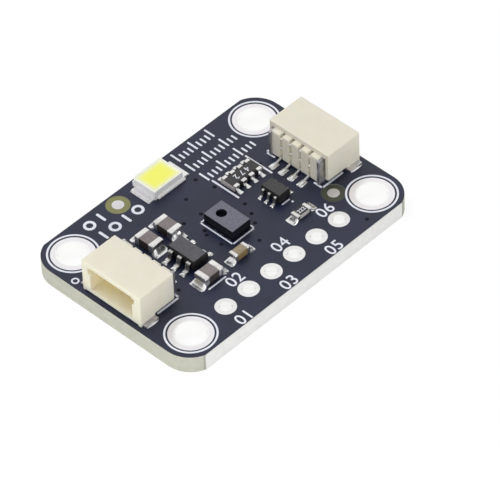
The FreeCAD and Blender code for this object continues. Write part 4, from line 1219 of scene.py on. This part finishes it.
cameraView = {
    "azimuth": -44.65,
    "elevation": 45.108,
    "roll": -2.392,
    "distance": 324.096,
    "target": (-0.739, -3.559, 1.633),
    "focalPixels": 4196.8,
    "framePixels": 500,
    "sensor": 36.0,
}


def placeCamera():
    view = cameraView
    azimuth = math.radians(view["azimuth"])
    elevation = math.radians(view["elevation"])
    roll = math.radians(view["roll"])
    back = Vector((math.sin(azimuth) * math.cos(elevation), -math.cos(azimuth) * math.cos(elevation),
                   math.sin(elevation)))
    right = (-back).cross(Vector((0, 0, 1))).normalized()
    up = right.cross(-back)
    across = math.cos(roll) * right + math.sin(roll) * up
    upright = -math.sin(roll) * right + math.cos(roll) * up
    data = bpy.data.cameras.new("photoCamera")
    data.sensor_width = view["sensor"]
    data.lens = view["focalPixels"] * view["sensor"] / view["framePixels"]
    data.clip_start = 0.01
    data.clip_end = 10.0
    camera = bpy.data.objects.new("photoCamera", data)
    place = (Vector(view["target"]) + back * view["distance"]) * mm
    camera.matrix_world = Matrix.Translation(place) @ Matrix((across, upright, back)).transposed().to_4x4()
    bpy.context.scene.collection.objects.link(camera)
    bpy.context.scene.camera = camera


studio = {
    "floorSize": 1400.0,
    "floorShade": 0.84,
    "seenFloor": 0.13,
    "seenGlow": 0.90,
    "worldStrength": 0.50,
    "lamps": {
        "rearBox": {"power": 0.34, "size": 170.0, "place": (-60.0, 130.0, 260.0), "mirrored": False},
        "leftBox": {"power": 0.024, "size": 30.0, "place": (-80.0, -45.0, 34.0), "mirrored": True},
        "frontBox": {"power": 0.018, "size": 50.0, "place": (40.0, -120.0, 40.0), "mirrored": True},
    },
    "darkCards": {
        "overheadCard": {"size": 210.0, "place": (10.0, -10.0, 420.0)},
        "rightCard": {"size": 260.0, "place": (330.0, -190.0, 150.0)},
        "frontCard": {"size": 150.0, "place": (175.0, -175.0, 245.0)},
        "rearCard": {"size": 90.0, "place": (-60.0, 120.0, 200.0)},
    },
    "cardShade": 0.02,
}


def makeFloor():
    bm = bmesh.new()
    bmesh.ops.create_grid(bm, x_segments=1, y_segments=1, size=studio["floorSize"] / 2 * mm)
    bmesh.ops.translate(bm, verts=bm.verts, vec=(0, 0, -0.02 * mm))
    mesh = bpy.data.meshes.new("floor")
    bm.to_mesh(mesh)
    bm.free()
    floor = bpy.data.objects.new("floor", mesh)
    bpy.context.scene.collection.objects.link(floor)
    material = bpy.data.materials.new("floorPaper")
    material.use_nodes = True
    nodes = material.node_tree.nodes
    link = material.node_tree.links.new
    nodes.clear()
    output = nodes.new("ShaderNodeOutputMaterial")
    pick = nodes.new("ShaderNodeMixShader")
    plain = nodes.new("ShaderNodeBsdfDiffuse")
    plain.inputs["Color"].default_value = (*[studio["floorShade"]] * 3, 1)
    seen = nodes.new("ShaderNodeAddShader")
    seenPaper = nodes.new("ShaderNodeBsdfDiffuse")
    seenPaper.inputs["Color"].default_value = (*[studio["seenFloor"]] * 3, 1)
    glow = nodes.new("ShaderNodeEmission")
    glow.inputs["Strength"].default_value = studio["seenGlow"]
    rays = nodes.new("ShaderNodeLightPath")
    either = nodes.new("ShaderNodeMath")
    either.operation = "MAXIMUM"
    link(rays.outputs["Is Camera Ray"], either.inputs[0])
    link(rays.outputs["Is Glossy Ray"], either.inputs[1])
    link(either.outputs["Value"], pick.inputs["Fac"])
    link(plain.outputs["BSDF"], pick.inputs[1])
    link(seenPaper.outputs["BSDF"], seen.inputs[0])
    link(glow.outputs["Emission"], seen.inputs[1])
    link(seen.outputs["Shader"], pick.inputs[2])
    link(pick.outputs["Shader"], output.inputs["Surface"])
    mesh.materials.append(material)


def makeWorld():
    world = bpy.data.worlds.new("paleRoom")
    bpy.context.scene.world = world
    world.use_nodes = True
    nodes = world.node_tree.nodes
    link = world.node_tree.links.new
    shade = nodes["Background"]
    rays = nodes.new("ShaderNodeLightPath")
    seen = nodes.new("ShaderNodeMath")
    seen.operation = "MAXIMUM"
    strength = nodes.new("ShaderNodeMapRange")
    strength.inputs["To Min"].default_value = studio["worldStrength"]
    strength.inputs["To Max"].default_value = 1.0
    both = nodes.new("ShaderNodeMath")
    both.operation = "MAXIMUM"
    shade.inputs["Color"].default_value = (1, 1, 1, 1)
    link(rays.outputs["Is Camera Ray"], seen.inputs[0])
    link(rays.outputs["Is Glossy Ray"], seen.inputs[1])
    link(seen.outputs["Value"], both.inputs[0])
    link(rays.outputs["Is Transmission Ray"], both.inputs[1])
    link(both.outputs["Value"], strength.inputs["Value"])
    link(strength.outputs["Result"], shade.inputs["Strength"])


def facingObject(place):
    return Matrix.Translation(place) @ place.to_track_quat("Z", "Y").to_matrix().to_4x4()


def makeLamps():
    for name, lampSet in studio["lamps"].items():
        data = bpy.data.lights.new(name, "AREA")
        data.shape = "SQUARE"
        data.size = lampSet["size"] * mm
        data.energy = lampSet["power"]
        lamp = bpy.data.objects.new(name, data)
        lamp.visible_glossy = lampSet["mirrored"]  # the large box would blank out the solder
        lamp.matrix_world = facingObject(Vector(lampSet["place"]) * mm)
        bpy.context.scene.collection.objects.link(lamp)


def makeDarkCards():
    # black studio cards that curved metal reflects; they stand outside every view
    material = bpy.data.materials.new("cardBlack")
    material.use_nodes = True
    shader = material.node_tree.nodes["Principled BSDF"]
    shader.inputs["Base Color"].default_value = (*[studio["cardShade"]] * 3, 1)
    shader.inputs["Roughness"].default_value = 0.9
    for name, card in studio["darkCards"].items():
        bm = bmesh.new()
        bmesh.ops.create_grid(bm, x_segments=1, y_segments=1, size=card["size"] / 2 * mm)
        bmesh.ops.transform(bm, matrix=facingObject(Vector(card["place"]) * mm), verts=bm.verts)
        mesh = bpy.data.meshes.new(name)
        bm.to_mesh(mesh)
        bm.free()
        mesh.materials.append(material)
        piece = bpy.data.objects.new(name, mesh)
        piece.visible_camera = False
        piece.visible_diffuse = False
        piece.visible_shadow = False
        bpy.context.scene.collection.objects.link(piece)


placeCamera()
makeFloor()
makeWorld()
makeLamps()
makeDarkCards()
bpy.context.scene.view_settings.view_transform = "Standard"
print("camera, floor and light placed")
